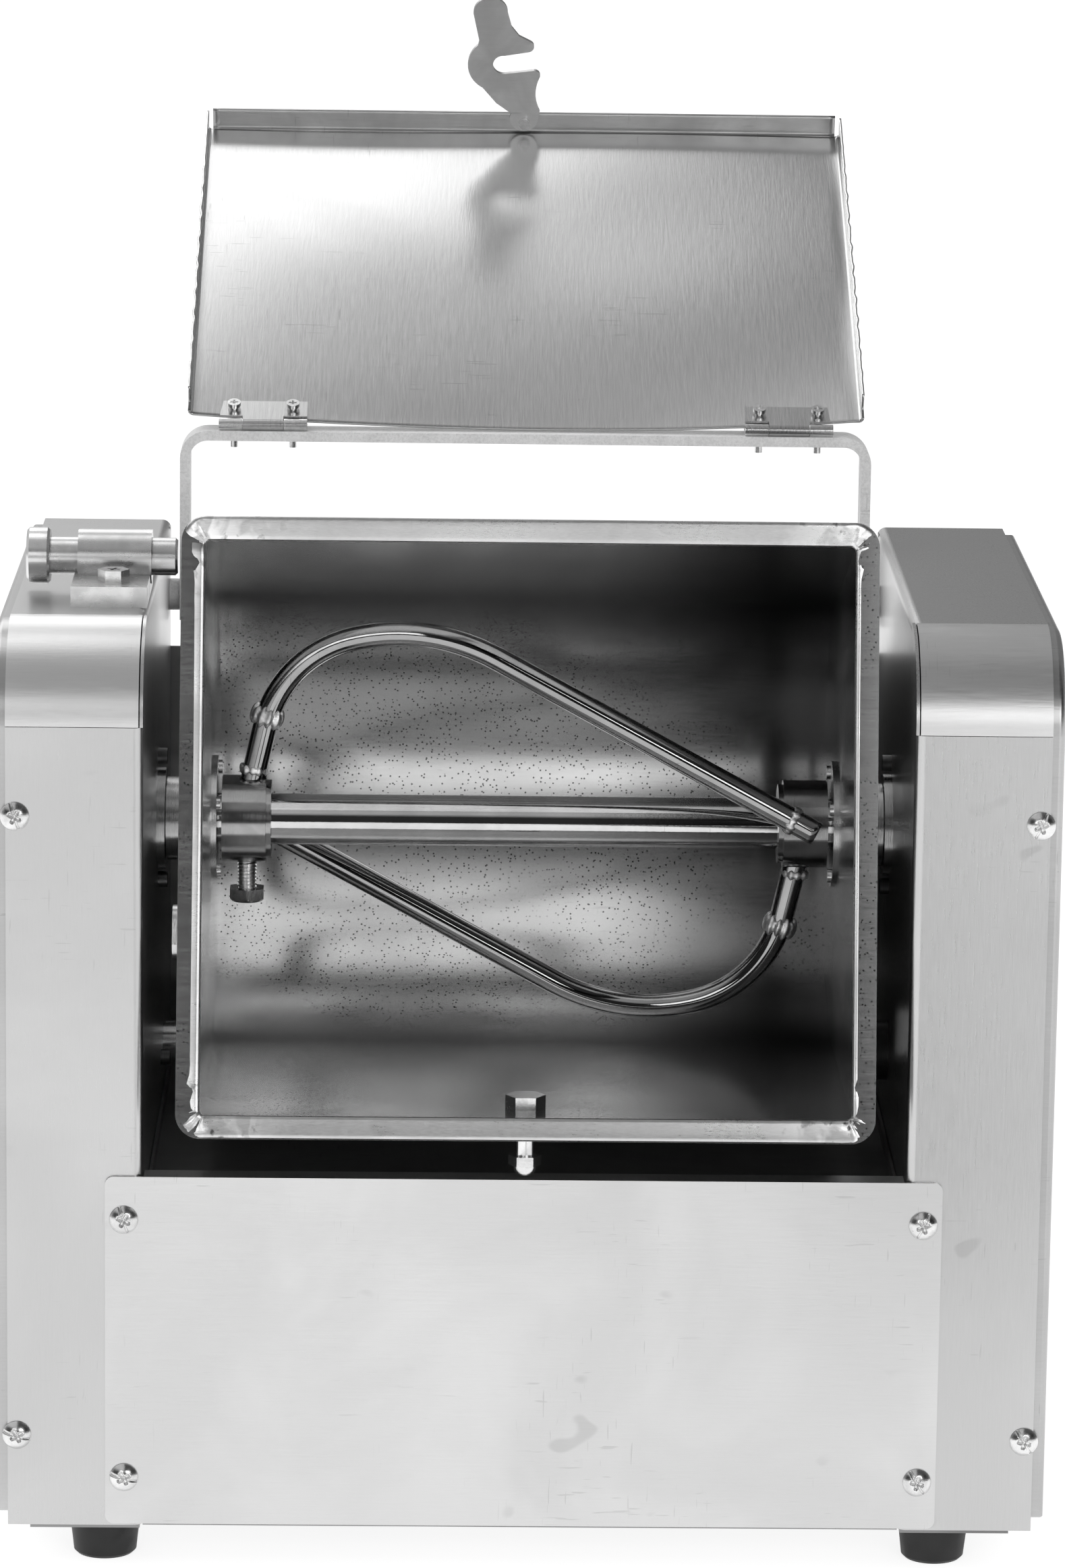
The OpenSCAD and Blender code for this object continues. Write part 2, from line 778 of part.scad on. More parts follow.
module hinge_frame_leaves() {
    half = hinge_len / 2;
    mid = knuckle_mid / 2 + knuckle_gap;
    leaf_z = bar_z + bar_t - hinge_z;
    color("lightgray") hinge_places() difference() {
        union() {
            for (s = [0, 1]) mirror([s, 0, 0]) {
                knuckle(mid, half, hinge_pin_d / 2);
                translate([mid, 0, leaf_z]) difference() {
                    cube([half - mid, leaf_w, leaf_t]);
                    translate([-over, 0, barrel_d / 2 + leaf_gap]) along_x()
                        cylinder(d = hinge_pin_d, h = half);
                }
            }
            translate([-half, barrel_d / 2 + 2 * leaf_gap, leaf_z])
                cube([hinge_len, leaf_w - barrel_d / 2 - 2 * leaf_gap, leaf_t]);
        }
        for (s = [-1, 1]) translate([s * leaf_screw_x, leaf_screw_y, leaf_z - over])
            cylinder(d = leaf_screw_d, h = leaf_t + 2 * over);
    }
}

module hinge_pins() {
    color("white") hinge_places() translate([-hinge_len / 2, 0, 0]) along_x()
        cylinder(d = hinge_pin_d, h = hinge_len);
}

// Pan head screw of a hinge leaf, pointing along -z from z = 0
module leaf_screw(len) {
    head_d = 2 * leaf_screw_d - 1.2 * leaf_t;
    head_h = leaf_screw_d / 2;
    difference() {
        union() {
            cylinder(d = head_d, h = head_h);
            translate([0, 0, -len]) cylinder(d = leaf_screw_d, h = len + head_h / 2);
        }
        for (a = [0, 90]) rotate(a) translate([0, 0, head_h])
            cube([head_d * 0.6, head_d / 6, head_h], center = true);
    }
}

module hinge_frame_screws() {
    show = 5;
    len = bar_t + leaf_t + show;
    color("white") hinge_places() for (s = [-1, 1])
        translate([s * leaf_screw_x, leaf_screw_y, bar_z + bar_t + leaf_t - hinge_z]) leaf_screw(len);
}

// Lock pin's guide on the left housing
block_ahead = 45;
block_behind = 18;
block_w = 36;
block_inset = 1;
block_front = pin_y + block_ahead;
block_rear = pin_y - block_behind;
block_in = wall_x + block_inset;
block_out = block_in + block_w;
sleeve_bolt_in = 16.5;
sleeve_bolt_ahead = 27;
sleeve_bolt_y = pin_y + sleeve_bolt_ahead;
sleeve_bolt_x = block_in + sleeve_bolt_in;

module pin_sleeve() {
    color("gray") on_side(-1) difference() {
        union() {
            translate([block_in, -block_front, housing_top])
                cube([block_out - block_in, block_front - block_rear, block_t]);
            translate([sleeve_in, -pin_y, pin_z]) along_x()
                cylinder(d = sleeve_d, h = sleeve_out - sleeve_in);
        }
        translate([sleeve_in - over, -pin_y, pin_z]) along_x()
            cylinder(r = pin_d / 2 + run_gap, h = max(sleeve_out, block_out) - sleeve_in + 2 * over);
        translate([sleeve_bolt_x, -sleeve_bolt_y, housing_top - over])
            cylinder(d = sleeve_bolt_d, h = block_t + 2 * over);
    }
}

sleeve_bolt_d = 8;

module sleeve_bolt() {
    head = 5.5;
    flats = 13;
    color("lightgray") on_side(-1)
        translate([sleeve_bolt_x, -sleeve_bolt_y, housing_top + block_t]) difference() {
            hex_bolt(flats, head, sleeve_bolt_d, block_t);
            for (a = [20, 110]) rotate(a) translate([0, 0, head])
                cube([flats / 2, head / 4, head / 2], center = true);
        }
}

module lock_pin() {
    neck = knob_in - pin_tip;
    chamfer = 1.2;
    color("gray") on_side(-1) translate([pin_tip, -pin_y, pin_z]) along_x() rotate_extrude()
        polygon([[0, 0], [pin_d / 2 - chamfer, 0], [pin_d / 2, chamfer], [pin_d / 2, neck],
            [knob_d / 2 - chamfer, neck], [knob_d / 2, neck + chamfer],
            [knob_d / 2, neck + knob_t - chamfer], [knob_d / 2 - chamfer, neck + knob_t],
            [0, neck + knob_t]]);
}

// Bearings and what is bolted to the inner walls

// Plate with a round middle and two round ends, drawn along x
module two_bolt_plate(mid_r, end_r, reach) {
    a = acos((mid_r - end_r) / reach);
    polygon(concat(arc([reach, 0], end_r, -a, a, 10), arc([0, 0], mid_r, a, half_turn - a, 8),
        arc([-reach, 0], end_r, half_turn - a, half_turn + a, 10),
        arc([0, 0], mid_r, half_turn + a, 2 * half_turn - a, 8)));
}

// Two-bolt flange bearing that stands on z = 0
module flange_bearing(bore_r, mid_r) {
    difference() {
        union() {
            linear_extrude(bearing_flange_t) two_bolt_plate(mid_r, bearing_end_r, bolt_reach);
            cylinder(r = mid_r * 0.86, h = bearing_flange_t + bearing_boss_t);
        }
        translate([0, 0, -over]) cylinder(r = bore_r, h = bearing_flange_t + bearing_boss_t + 2 * over);
        for (s = [-1, 1]) translate([s * bolt_reach, 0, -over])
            cylinder(r = bearing_bolt_r, h = bearing_flange_t + 2 * over);
    }
}

module left_bearing() {
    color("slategray") on_side(-1) translate([wall_back, axis_y, axis_z]) along_x()
        flange_bearing(shaft_r + run_gap, bearing_r);
}

module right_bearing() {
    color("slategray") translate([wall_back, axis_y, axis_z]) along_x()
        flange_bearing(shaft_r + run_gap, bearing_r);
}

module jackshaft_bearings() {
    color("slategray") both_sides() translate([wall_back, jack_y, jack_z]) along_x()
        rotate(90) flange_bearing(jack_r + run_gap, bearing_r * 0.9);
}

bolt_show = 4.5;

module bearing_bolt() {
    head = 5;
    len = bearing_flange_t + sheet_t + bolt_show;
    rotate([0, 0, 30]) hex_bolt(3.2 * bearing_bolt_r, head, 2 * bearing_bolt_r, len);
}

module bearing_bolts() {
    color("gray") both_sides() {
        translate([wall_back + bearing_flange_t, axis_y, axis_z]) along_x()
            for (s = [-1, 1]) translate([s * bolt_reach, 0, 0]) bearing_bolt();
        translate([wall_back + bearing_flange_t, jack_y, jack_z]) along_x() rotate(90)
            for (s = [-1, 1]) translate([s * bolt_reach, 0, 0]) bearing_bolt();
    }
}

module wall_discs() {
    color("gray") both_sides() translate([wall_x - disc_t, axis_y, axis_z]) along_x() difference() {
        tube(disc_r, shaft_r + side_gap, disc_t);
        for (s = [-1, 1]) translate([s * bolt_reach, 0, -over])
            cylinder(r = bearing_bolt_r + side_gap, h = disc_t + 2 * over);
    }
}

// Stop that the tipped tub rests against, by its lug, on the right wall
buffer_r = 14.5;
buffer_len = 15.5;
buffer_drop = 110.5;
buffer_back = 16;
stop_gap = 0.3;

module stop_buffer() {
    edge = 1.5;
    color("dimgray") translate([wall_x - buffer_len, axis_y - buffer_back, axis_z - buffer_drop])
        along_x() rotate_extrude() polygon([[0, 0], [buffer_r - edge, 0], [buffer_r, edge],
            [buffer_r, buffer_len], [0, buffer_len]]);
}

// Tub, drawn upright about its axis and tipped to its place at rest

module tub_place() {
    translate([0, axis_y, axis_z]) rotate([tilt, 0, 0]) children();
}

// Outline of the tub in y and z, grown by off, up to the height top
module tub_outline(off, top) {
    r = tub_bend_r + off;
    rear_top = (r + top * sin(rear_lean)) / cos(rear_lean);
    front_top = (r + top * sin(front_lean)) / cos(front_lean);
    circle(r);
    polygon([[r * cos(rear_lean), -r * sin(rear_lean)], [rear_top, top],
        [-front_top, top], [-r * cos(front_lean), -r * sin(front_lean)]]);
}

module tub_shell() {
    color("silver") tub_place() difference() {
        union() {
            translate([-tub_out, 0, 0]) side_profile(2 * tub_out) tub_outline(tub_t, mouth_h - rim_t);
            translate([0, 0, mouth_h - rim_t]) linear_extrude(rim_t)
                round_rect(-rim_half, -front_lip, rim_half, rear_lip,
                    [rim_corner_r, rim_corner_r, rim_corner_r, rim_corner_r]);
        }
        translate([-tub_half, 0, 0]) side_profile(tub_in_w) tub_outline(0, mouth_h + over);
        translate([-tub_out - over, 0, 0]) along_x()
            cylinder(r = bush_spigot_r, h = 2 * (tub_out + over));
        catch_place() translate([0, 0, -over]) cylinder(d = catch_d, h = tub_t + 2 * over);
    }
}

bush_spigot_r = 17;

// Flanged bush on each side of the tub, which turns on the main shaft
module tub_bushes() {
    nose = wall_x - disc_t - side_gap - tub_out;
    color("gray") tub_place() both_sides() translate([tub_half, 0, 0]) along_x() difference() {
        union() {
            cylinder(r = bush_spigot_r, h = tub_t + bush_flange_t / 2);
            translate([0, 0, tub_t]) cylinder(r = bush_flange_r, h = bush_flange_t);
            translate([0, 0, tub_t]) cylinder(r = bush_nose_r, h = nose);
        }
        translate([0, 0, -over]) cylinder(r = shaft_r + run_gap, h = nose + tub_t + 2 * over);
    }
}

seal_angles = [0, 90, 180, 270];

// Puts a piece at each seal screw, on the inner side of the tub and level with the world at rest
module seal_screw_places() {
    both_sides() translate([tub_half - seal_t, 0, 0]) along_x() for (a = seal_angles)
        rotate(a + tilt) translate([seal_screw_ring, 0, 0]) children();
}

module seal_plates() {
    color("darkgray") tub_place() difference() {
        both_sides() translate([tub_half - seal_t, 0, 0]) along_x()
            tube(seal_r, shaft_r + side_gap, seal_t);
        seal_screw_places() translate([0, 0, -over]) cylinder(d = seal_screw_d, h = seal_t + 2 * over);
    }
}

seal_screw_d = 4;

module bush_screws() {
    head_h = 1.8;
    color("white") tub_place() seal_screw_places() {
        translate([0, 0, -head_h]) cylinder(d = 1.7 * seal_screw_d, h = head_h);
        cylinder(d = seal_screw_d, h = seal_t);
    }
}

// Socket on the tub's left side that the lock pin enters when the tub stands upright
module lock_boss() {
    seat = mouth_h - rim_t - (pin_z - axis_z);
    color("gray") tub_place() on_side(-1) difference() {
        translate([tub_out, -pin_y - axis_y, pin_z - axis_z]) along_x() intersection() {
            tube(boss_d / 2, 0, boss_len);
            translate([-seat, -boss_d, 0]) cube([2 * boss_d, 2 * boss_d, boss_len]);
        }
        translate([tub_out + boss_wall, -pin_y - axis_y, pin_z - axis_z]) along_x()
            cylinder(r = pin_d / 2 + pin_fit, h = boss_len + over);
    }
}

// Bar on the tub's right side that comes to rest on the stop buffer
module stop_lug() {
    lug_w = 8;
    lug_h = 22;
    lug_len = 13;
    y1 = -buffer_back - buffer_r - stop_gap;
    color("gray") translate([tub_out, axis_y + y1 - lug_w, axis_z - buffer_drop + lug_w / 2])
        cube([lug_len, lug_w, lug_h]);
}

// The catch bolt stands square to the tub's front wall; z points out of the tub from its inside
module catch_place() {
    translate([0, -catch_w, mouth_h - catch_drop]) rotate([90 + front_lean, 0, 0]) children();
}

catch_head = 6.2;
catch_flats = 16.5;
catch_nut_flats = 13.5;
catch_nut_h = 4.6;

module catch_bolt() {
    color("silver") tub_place() catch_place() {
        translate([0, 0, -catch_head]) hexagon(catch_flats, catch_head);
        translate([0, 0, -catch_head / 2]) cylinder(d = catch_d, h = catch_head / 2 + catch_len - catch_nut_dome);
    }
}

catch_nut_dome = 5.8;

module catch_nut() {
    base = catch_len - catch_nut_dome - catch_nut_h;
    color("silver") tub_place() catch_place() difference() {
        union() {
            translate([0, 0, base]) hexagon(catch_nut_flats, catch_nut_h);
            translate([0, 0, base + catch_nut_h - over / 4]) cylinder(r = catch_nut_dome, h = over / 2);
            intersection() {
                translate([0, 0, catch_len - catch_nut_dome]) sphere(catch_nut_dome);
                translate([0, 0, catch_len - catch_nut_dome]) cylinder(r = catch_nut_flats, h = catch_nut_dome);
            }
        }
        translate([0, 0, base - over]) cylinder(d = catch_d, h = catch_nut_h + over);
    }
}

// Agitator, drawn about its axis

module shaft_place() {
    translate([0, axis_y, axis_z]) children();
}

shaft_left_show = 6;
shaft_right_show = 5;
shaft_left = wall_back + bearing_flange_t + bearing_boss_t + shaft_left_show;
shaft_right = gear_x + gear_w + shaft_right_show;

module main_shaft() {
    chamfer = 1;
    len = shaft_left + shaft_right;
    color("white") shaft_place() translate([-shaft_left, 0, 0]) along_x() rotate_extrude()
        polygon([[0, 0], [shaft_r - chamfer, 0], [shaft_r, chamfer], [shaft_r, len - chamfer],
            [shaft_r - chamfer, len], [0, len]]);
}

// A hub on the shaft with a step turned in its outer face, from its inner face outward
module hub() {
    step = 2.5;
    step_r = hub_r * 0.9;
    difference() {
        union() {
            cylinder(r = step_r, h = step * 1.5);
            translate([0, 0, step]) cylinder(r = hub_r, h = hub_len - step);
        }
        translate([0, 0, -over]) cylinder(r = shaft_r, h = hub_len + 2 * over);
    }
}

module clamp_collar() {
    color("silver") shaft_place() on_side(-1) difference() {
        translate([hub_x, 0, 0]) along_x() hub();
        translate([hub_x + hub_len / 2, 0, -hub_r - over])
            cylinder(d = collar_bolt_d, h = hub_r + over - shaft_r * 0.9);
    }
}

module drive_hub() {
    color("dimgray") shaft_place() translate([hub_x, 0, 0]) along_x() hub();
}

module collar_bolt() {
    flats = 16.5;
    head = 6.4;
    show = 13;
    seat = sqrt(shaft_r * shaft_r - collar_bolt_d * collar_bolt_d / 4);
    color("silver") shaft_place() on_side(-1) translate([hub_x + hub_len / 2, 0, -hub_r - show]) {
        translate([0, 0, -head]) hexagon(flats, head);
        translate([0, 0, -head / 2]) difference() {
            cylinder(d = collar_bolt_d, h = head / 2 + show + hub_r - seat);
            translate([-hub_r, 0, head / 2 + show + hub_r]) along_x() cylinder(r = shaft_r, h = 2 * hub_r);
        }
    }
}

// Angles of the straight ends of an arm, as tangents from their feet to the bends
arm_depth_deg = atan2(arm_front, arm_foot_x + arm_end_x);
main_c = [-arm_peak_x, arm_reach - arm_main_r];
shoulder_c = [-arm_peak_x - (arm_main_r - arm_shoulder_r) * sin(shoulder_deg),
    main_c[1] + (arm_main_r - arm_shoulder_r) * cos(shoulder_deg)];
arm_end = [arm_end_x + (arm_foot_x + arm_end_x) * (1 / cos(arm_depth_deg) - 1), 0];
arm_foot = [-arm_foot_x, hub_r * 0.8];
fall_d = norm(arm_end - main_c);
fall_dir = atan2(arm_end[1] - main_c[1], arm_end[0] - main_c[0]);
fall_deg = fall_dir + acos(arm_main_r / fall_d);
stub_d = norm(arm_foot - shoulder_c);
stub_dir = atan2(arm_foot[1] - shoulder_c[1], arm_foot[0] - shoulder_c[0]);
stub_deg = 360 + stub_dir - acos(arm_shoulder_r / stub_d);

bead_len = 3;
bead_rise = 0.12;
bead_deg = 0.6;

function on_circle(c, r, a) = c + r * [cos(a), sin(a)];

// A round bar between two places of a drawing in x and z
module bar_between(a, b) {
    d = b - a;
    translate([a[0], 0, a[1]]) rotate([0, 90 - atan2(d[1], d[0]), 0]) cylinder(r = arm_r, h = norm(d));
}

// A round bar bent about a centre in x and z, between two angles
module bar_bend(c, r, a0, a1) {
    translate([c[0], 0, c[1]]) rotate([90, 0, 0]) rotate([0, 0, a0])
        rotate_extrude(angle = a1 - a0) translate([r, 0]) circle(arm_r);
}

// A thin bead that joins two lengths of the bar at a place of the drawing, square to the angle a
module bar_bead(p, a) {
    translate([p[0], 0, p[1]]) rotate([0, 90 - a, 0]) translate([0, 0, -bead_len / 2])
        cylinder(r = arm_r + bead_rise, h = bead_len);
}

// The upper arm from its stub on the clamp collar over the top to the front of the drive hub
module arm() {
    difference() {
        translate([-arm_foot_x, 0, 0]) rotate([0, 0, -arm_depth_deg]) translate([arm_foot_x, 0, 0]) {
            bar_between(arm_foot, on_circle(shoulder_c, arm_shoulder_r, stub_deg));
            bar_bead(on_circle(shoulder_c, arm_shoulder_r, stub_deg), stub_deg - 90);
            bar_bend(shoulder_c, arm_shoulder_r, 90 + shoulder_deg + bead_deg, stub_deg - bead_deg);
            bar_bead(on_circle(main_c, arm_main_r, 90 + shoulder_deg), shoulder_deg);
            bar_bend(main_c, arm_main_r, fall_deg + bead_deg, 90 + shoulder_deg);
            bar_bead(on_circle(main_c, arm_main_r, fall_deg), fall_deg - 90);
            bar_between(on_circle(main_c, arm_main_r, fall_deg), arm_end);
        }
        both_sides() translate([hub_x, 0, 0]) along_x() cylinder(r = hub_r, h = hub_len);
    }
}

module upper_arm() {
    color("white") shaft_place() arm();
}

module lower_arm() {
    color("white") shaft_place() rotate([180, 0, 0]) mirror([1, 0, 0]) arm();
}

// Gears

// Involute function of an angle, in degrees
function involute(a) = tan(a) * 180 / PI - a;

pressure_deg = 20;
addendum_share = 1;
dedendum_share = 1.25;
flank_steps = 3;

// Half the angle that a tooth takes at radius r, narrowed by half the backlash
function half_tooth(r, pitch_r, teeth) =
    90 / teeth - gear_backlash / 2 / pitch_r * 180 / PI + involute(pressure_deg)
        - involute(acos(min(1, pitch_r * cos(pressure_deg) / r)));

function tooth_points(teeth, root_r, tip_r, pitch_r) =
    let (base_r = pitch_r * cos(pressure_deg), low = max(base_r, root_r),
        rs = [for (i = [0:flank_steps]) low + (tip_r - low) * i / flank_steps],
        up = [for (r = rs) [r, -half_tooth(r, pitch_r, teeth)]],
        down = [for (i = [flank_steps:-1:0]) [rs[i], half_tooth(rs[i], pitch_r, teeth)]])
    concat([[root_r, -half_tooth(low, pitch_r, teeth)]], up, down, [[root_r, half_tooth(low, pitch_r, teeth)]]);

// Spur gear that stands on z = 0 with the middle of a tooth on +x
module spur_gear(teeth, bore_r, w) {
    pitch_r = gear_module * teeth / 2;
    tip_r = pitch_r + gear_module * addendum_share;
    root_r = pitch_r - gear_module * dedendum_share;
    tooth = tooth_points(teeth, root_r, tip_r, pitch_r);
    difference() {
        linear_extrude(w) polygon([for (i = [0:teeth - 1]) for (p = tooth)
            [p[0] * cos(p[1] + i * 360 / teeth), p[0] * sin(p[1] + i * 360 / teeth)]]);
        translate([0, 0, -over]) cylinder(r = bore_r, h = w + 2 * over);
    }
}

web_holes = 6;

module main_gear() {
    web_r = main_pitch_r * 0.56;
    hole_r = main_pitch_r * 0.16;
    rim_r = main_pitch_r * 0.86;
    boss_r = main_pitch_r * 0.3;
    recess = gear_w / 4;
    color("slategray") shaft_place() translate([gear_x, 0, 0]) along_x()
        rotate(90 - jack_deg + 180 / main_teeth) difference() {
            spur_gear(main_teeth, shaft_r, gear_w);
            for (z = [-over, gear_w - recess]) translate([0, 0, z]) tube(rim_r, boss_r, recess + over);
            for (i = [0:web_holes - 1]) rotate(i * 360 / web_holes) translate([web_r, 0, -over])
                cylinder(r = hole_r, h = gear_w + 2 * over);
        }
}

module jack_place() {
    translate([0, jack_y, jack_z]) children();
}

jack_end = 3;

module jackshaft() {
    left = pulley_x + pulley_w + jack_end;
    right = gear_x + gear_w + jack_end;
    color("silver") jack_place() translate([-left, 0, 0]) along_x() cylinder(r = jack_r, h = left + right);
}

module pinion() {
    color("slategray") jack_place() translate([gear_x, 0, 0]) along_x()
        rotate(90 - jack_deg + 180) spur_gear(pinion_teeth, jack_r, gear_w);
}

// Belt pulley that stands on z = 0, with one groove
module pulley(pitch_r, bore_r) {
    tip_r = pitch_r + belt_t / 2;
    low_r = tip_r - groove_depth;
    mid = pulley_w / 2;
    low_w = belt_w / 2 + belt_gap;
    top_w = low_w + groove_depth * tan(17);
    difference() {
        rotate_extrude() polygon([[bore_r, 0], [tip_r, 0], [tip_r, mid - top_w], [low_r, mid - low_w],
            [low_r, mid + low_w], [tip_r, mid + top_w], [tip_r, pulley_w], [bore_r, pulley_w]]);
        if (pitch_r > 2 * motor_pulley_r) for (i = [0:web_holes - 1])
            rotate(i * 360 / web_holes) translate([pitch_r * 0.55, 0, -over])
                cylinder(r = pitch_r * 0.19, h = pulley_w + 2 * over);
    }
}

module driven_pulley() {
    color("gray") jack_place() on_side(-1) translate([pulley_x, 0, 0]) along_x()
        pulley(pulley_d / 2, jack_r);
}

module motor_place() {
    translate([0, -motor_y, motor_z]) children();
}

module motor_shaft() {
    len = pulley_x + pulley_w + jack_end - motor_left + motor_bore_depth;
    color("silver") motor_place() translate([-motor_left - len + motor_bore_depth, 0, 0])
        along_x() cylinder(d = motor_shaft_d, h = len);
}

motor_bore_depth = 20;

module motor_pulley() {
    color("gray") motor_place() on_side(-1) translate([pulley_x, 0, 0]) along_x()
        pulley(motor_pulley_r, motor_shaft_d / 2);
}

// Loop of belt round the two pulleys, drawn in y and z from the jackshaft's axis
module belt_loop(r1, r2) {
    d = [-motor_y - jack_y, motor_z - jack_z];
    dist = norm(d);
    a = acos((r1 - r2) / dist);
    dir = atan2(d[1], d[0]);
    circle(r1);
    translate(d) circle(r2);
    rotate(dir) polygon([[r1 * cos(a), r1 * sin(a)], [r1 * cos(a), -r1 * sin(a)],
        [dist + r2 * cos(a), -r2 * sin(a)], [dist + r2 * cos(a), r2 * sin(a)]]);
}

module drive_belt() {
    in1 = pulley_d / 2 + belt_t / 2 - groove_depth + belt_gap;
    in2 = motor_pulley_r + belt_t / 2 - groove_depth + belt_gap;
    color("black") on_side(-1) translate([pulley_x + pulley_w / 2 - belt_w / 2, jack_y, jack_z])
        side_profile(belt_w) difference() {
            belt_loop(in1 + belt_t, in2 + belt_t);
            belt_loop(in1, in2);
        }
}

motor_foot_w = 90;
motor_foot_t = 12;

module motor_body() {
    cap = 14;
    step = 3;
    fin_r = motor_r - step;
    foot_z = base_z + sheet_t;
    color("gray") difference() {
        union() {
            motor_place() translate([-motor_left, 0, 0]) along_x() {
                cylinder(r = motor_r, h = cap);
                translate([0, 0, cap]) cylinder(r = fin_r, h = motor_len - 2 * cap);
                translate([0, 0, motor_len - cap]) cylinder(r = motor_r, h = cap);
            }
            for (x = [-motor_left + cap, motor_len - motor_left - cap - motor_foot_t])
                translate([x, -motor_y - motor_foot_w / 2, foot_z])
                    cube([motor_foot_t, motor_foot_w, motor_z - motor_r * 0.7 - foot_z]);
        }
        motor_place() translate([-motor_left - over, 0, 0]) along_x()
            cylinder(r = motor_shaft_d / 2 + run_gap, h = motor_bore_depth + over);
    }
}

// Controls on the right side cover

box_depth = 20;
box_h = 46;
box_margin = 8;
button_rim = 3;
button_sink = 7;

module switch_box() {
    half = button_pitch / 2 + button_d / 2 + box_margin;
    color("dimgray") difference() {
        union() {
            translate([half_w - sheet_t - box_depth, button_y - half, button_z - box_h / 2])
                cube([box_depth, 2 * half, box_h]);
            for (p = button_places) translate([half_w - 2 * sheet_t, button_y + p, button_z]) along_x()
                cylinder(r = button_hole_r, h = 2 * sheet_t);
            for (p = button_places) translate([half_w, button_y + p, button_z]) along_x()
                cylinder(r = button_d / 2 + button_rim, h = sheet_t);
        }
        for (p = button_places)
            translate([half_w - button_sink - button_travel - side_gap, button_y + p, button_z]) along_x()
                cylinder(r = button_cap_r + run_gap, h = button_sink + button_travel + 4 * sheet_t);
    }
}

button_wall = 1.2;
button_cap_r = button_d / 2 - button_wall;
button_proud = 5.5;

module button_cap(place) {
    dome = 1.2;
    translate([half_w - button_sink, button_y + place, button_z]) along_x() rotate_extrude()
        polygon([[0, 0], [button_cap_r, 0], [button_cap_r, button_sink + button_proud - dome],
            [button_cap_r - dome, button_sink + button_proud], [0, button_sink + button_proud]]);
}

module start_button() {
    color("green") button_cap(button_places[0]);
}

module stop_button() {
    color("red") button_cap(button_places[1]);
}

module cable_gland() {
    nut = 6;
    body = 10;
    bore = gland_r * 0.55;
    y0 = rear_y + sheet_t;
    color("dimgray") translate([gland_x, y0, gland_z]) mirror([0, 1, 0]) to_front() difference() {
        union() {
            translate([0, 0, -sheet_t - nut]) cylinder(r = gland_r, h = sheet_t + nut + body);
            hexagon(gland_r * 2.5, nut);
            translate([0, 0, nut]) cylinder(r = gland_r * 1.1, h = body);
            translate([0, 0, -sheet_t - nut]) hexagon(gland_r * 2.5, nut);
        }
        translate([0, 0, -sheet_t - nut - over]) cylinder(r = bore, h = sheet_t + 2 * nut + body + 4 * over);
    }
}

// Lid, drawn closed about its hinge pin and swung back to its place at rest

module lid_place() {
    translate([0, hinge_y, hinge_z]) rotate([-lid_swing, 0, 0]) children();
}

// A block in the shape of the lid, its top edges rounded, drawn in by off
module lid_block(off) {
    r = lid_bend_r - off;
    half = lid_w / 2 - off;
    y0 = -lid_len + off;
    z0 = lid_top - lid_flange - (off > 0 ? over : 0);
    z1 = lid_top - off;
    y1 = -lid_rear_gap + (off > 0 ? over : 0);
    intersection() {
        translate([-half, 0, 0]) side_profile(2 * half) round_rect(y0, z0, y1, z1, [0, 0, 0, r]);
        translate([0, y1, 0]) rotate([90, 0, 0]) linear_extrude(y1 - y0)
            round_rect(-half, z0, half, z1, [0, 0, r, r]);
    }
}

module lid_panel() {
    notch = lid_rear_gap + lid_rear_notch;
    color("silver") lid_place() difference() {
        lid_block(0);
        lid_block(lid_t);
        translate([-lid_w, -notch, lid_under - lid_flange - over])
            cube([2 * lid_w, notch + over, lid_flange + over]);
        // open corners between the front flange and the side flanges
        for (s = [-1, 1]) translate([s * lid_w / 2, -lid_len, lid_under - lid_flange])
            cube([2 * lid_slit, 2 * lid_slit, 2 * (lid_flange - lid_bend_r)], center = true);
        for (s = [-1, 1]) for (k = [-1, 1])
            translate([s * hinge_x + k * leaf_screw_x, -leaf_screw_y, lid_under - over])
                cylinder(d = leaf_screw_d, h = lid_t + 2 * over);
        translate([0, -lid_len - over, pivot_z]) rotate([-90, 0, 0])
            cylinder(d = rivet_d, h = lid_t + 2 * over);
    }
}

rivet_d = 5;
lid_slit = 1.8;

module hinge_lid_leaves() {
    half = hinge_len / 2;
    mid = knuckle_mid / 2;
    color("lightgray") lid_place() for (s = [-1, 1]) translate([s * hinge_x, 0, 0]) difference() {
        union() {
            knuckle(-mid, mid, hinge_pin_d / 2 + run_gap);
            translate([-mid, -leaf_w, lid_top]) difference() {
                cube([2 * mid, leaf_w, leaf_t]);
                translate([-over, leaf_w, barrel_d / 2]) along_x()
                    cylinder(r = hinge_pin_d / 2 + run_gap, h = hinge_len);
            }
            translate([-half, -leaf_w, lid_top])
                cube([hinge_len, leaf_w - barrel_d / 2 - 2 * leaf_gap, leaf_t]);
        }
        for (k = [-1, 1]) translate([k * leaf_screw_x, -leaf_screw_y, lid_top - over])
            cylinder(d = leaf_screw_d, h = leaf_t + 2 * over);
    }
}

module hinge_lid_screws() {
    show = 2.5;
    len = lid_t + leaf_t + show;
    color("white") lid_place() for (s = [-1, 1]) for (k = [-1, 1])
        translate([s * hinge_x + k * leaf_screw_x, -leaf_screw_y, lid_under]) mirror([0, 0, 1])
            leaf_screw(len);
}

// Latch hook, drawn from its pivot with y down the hanging hook

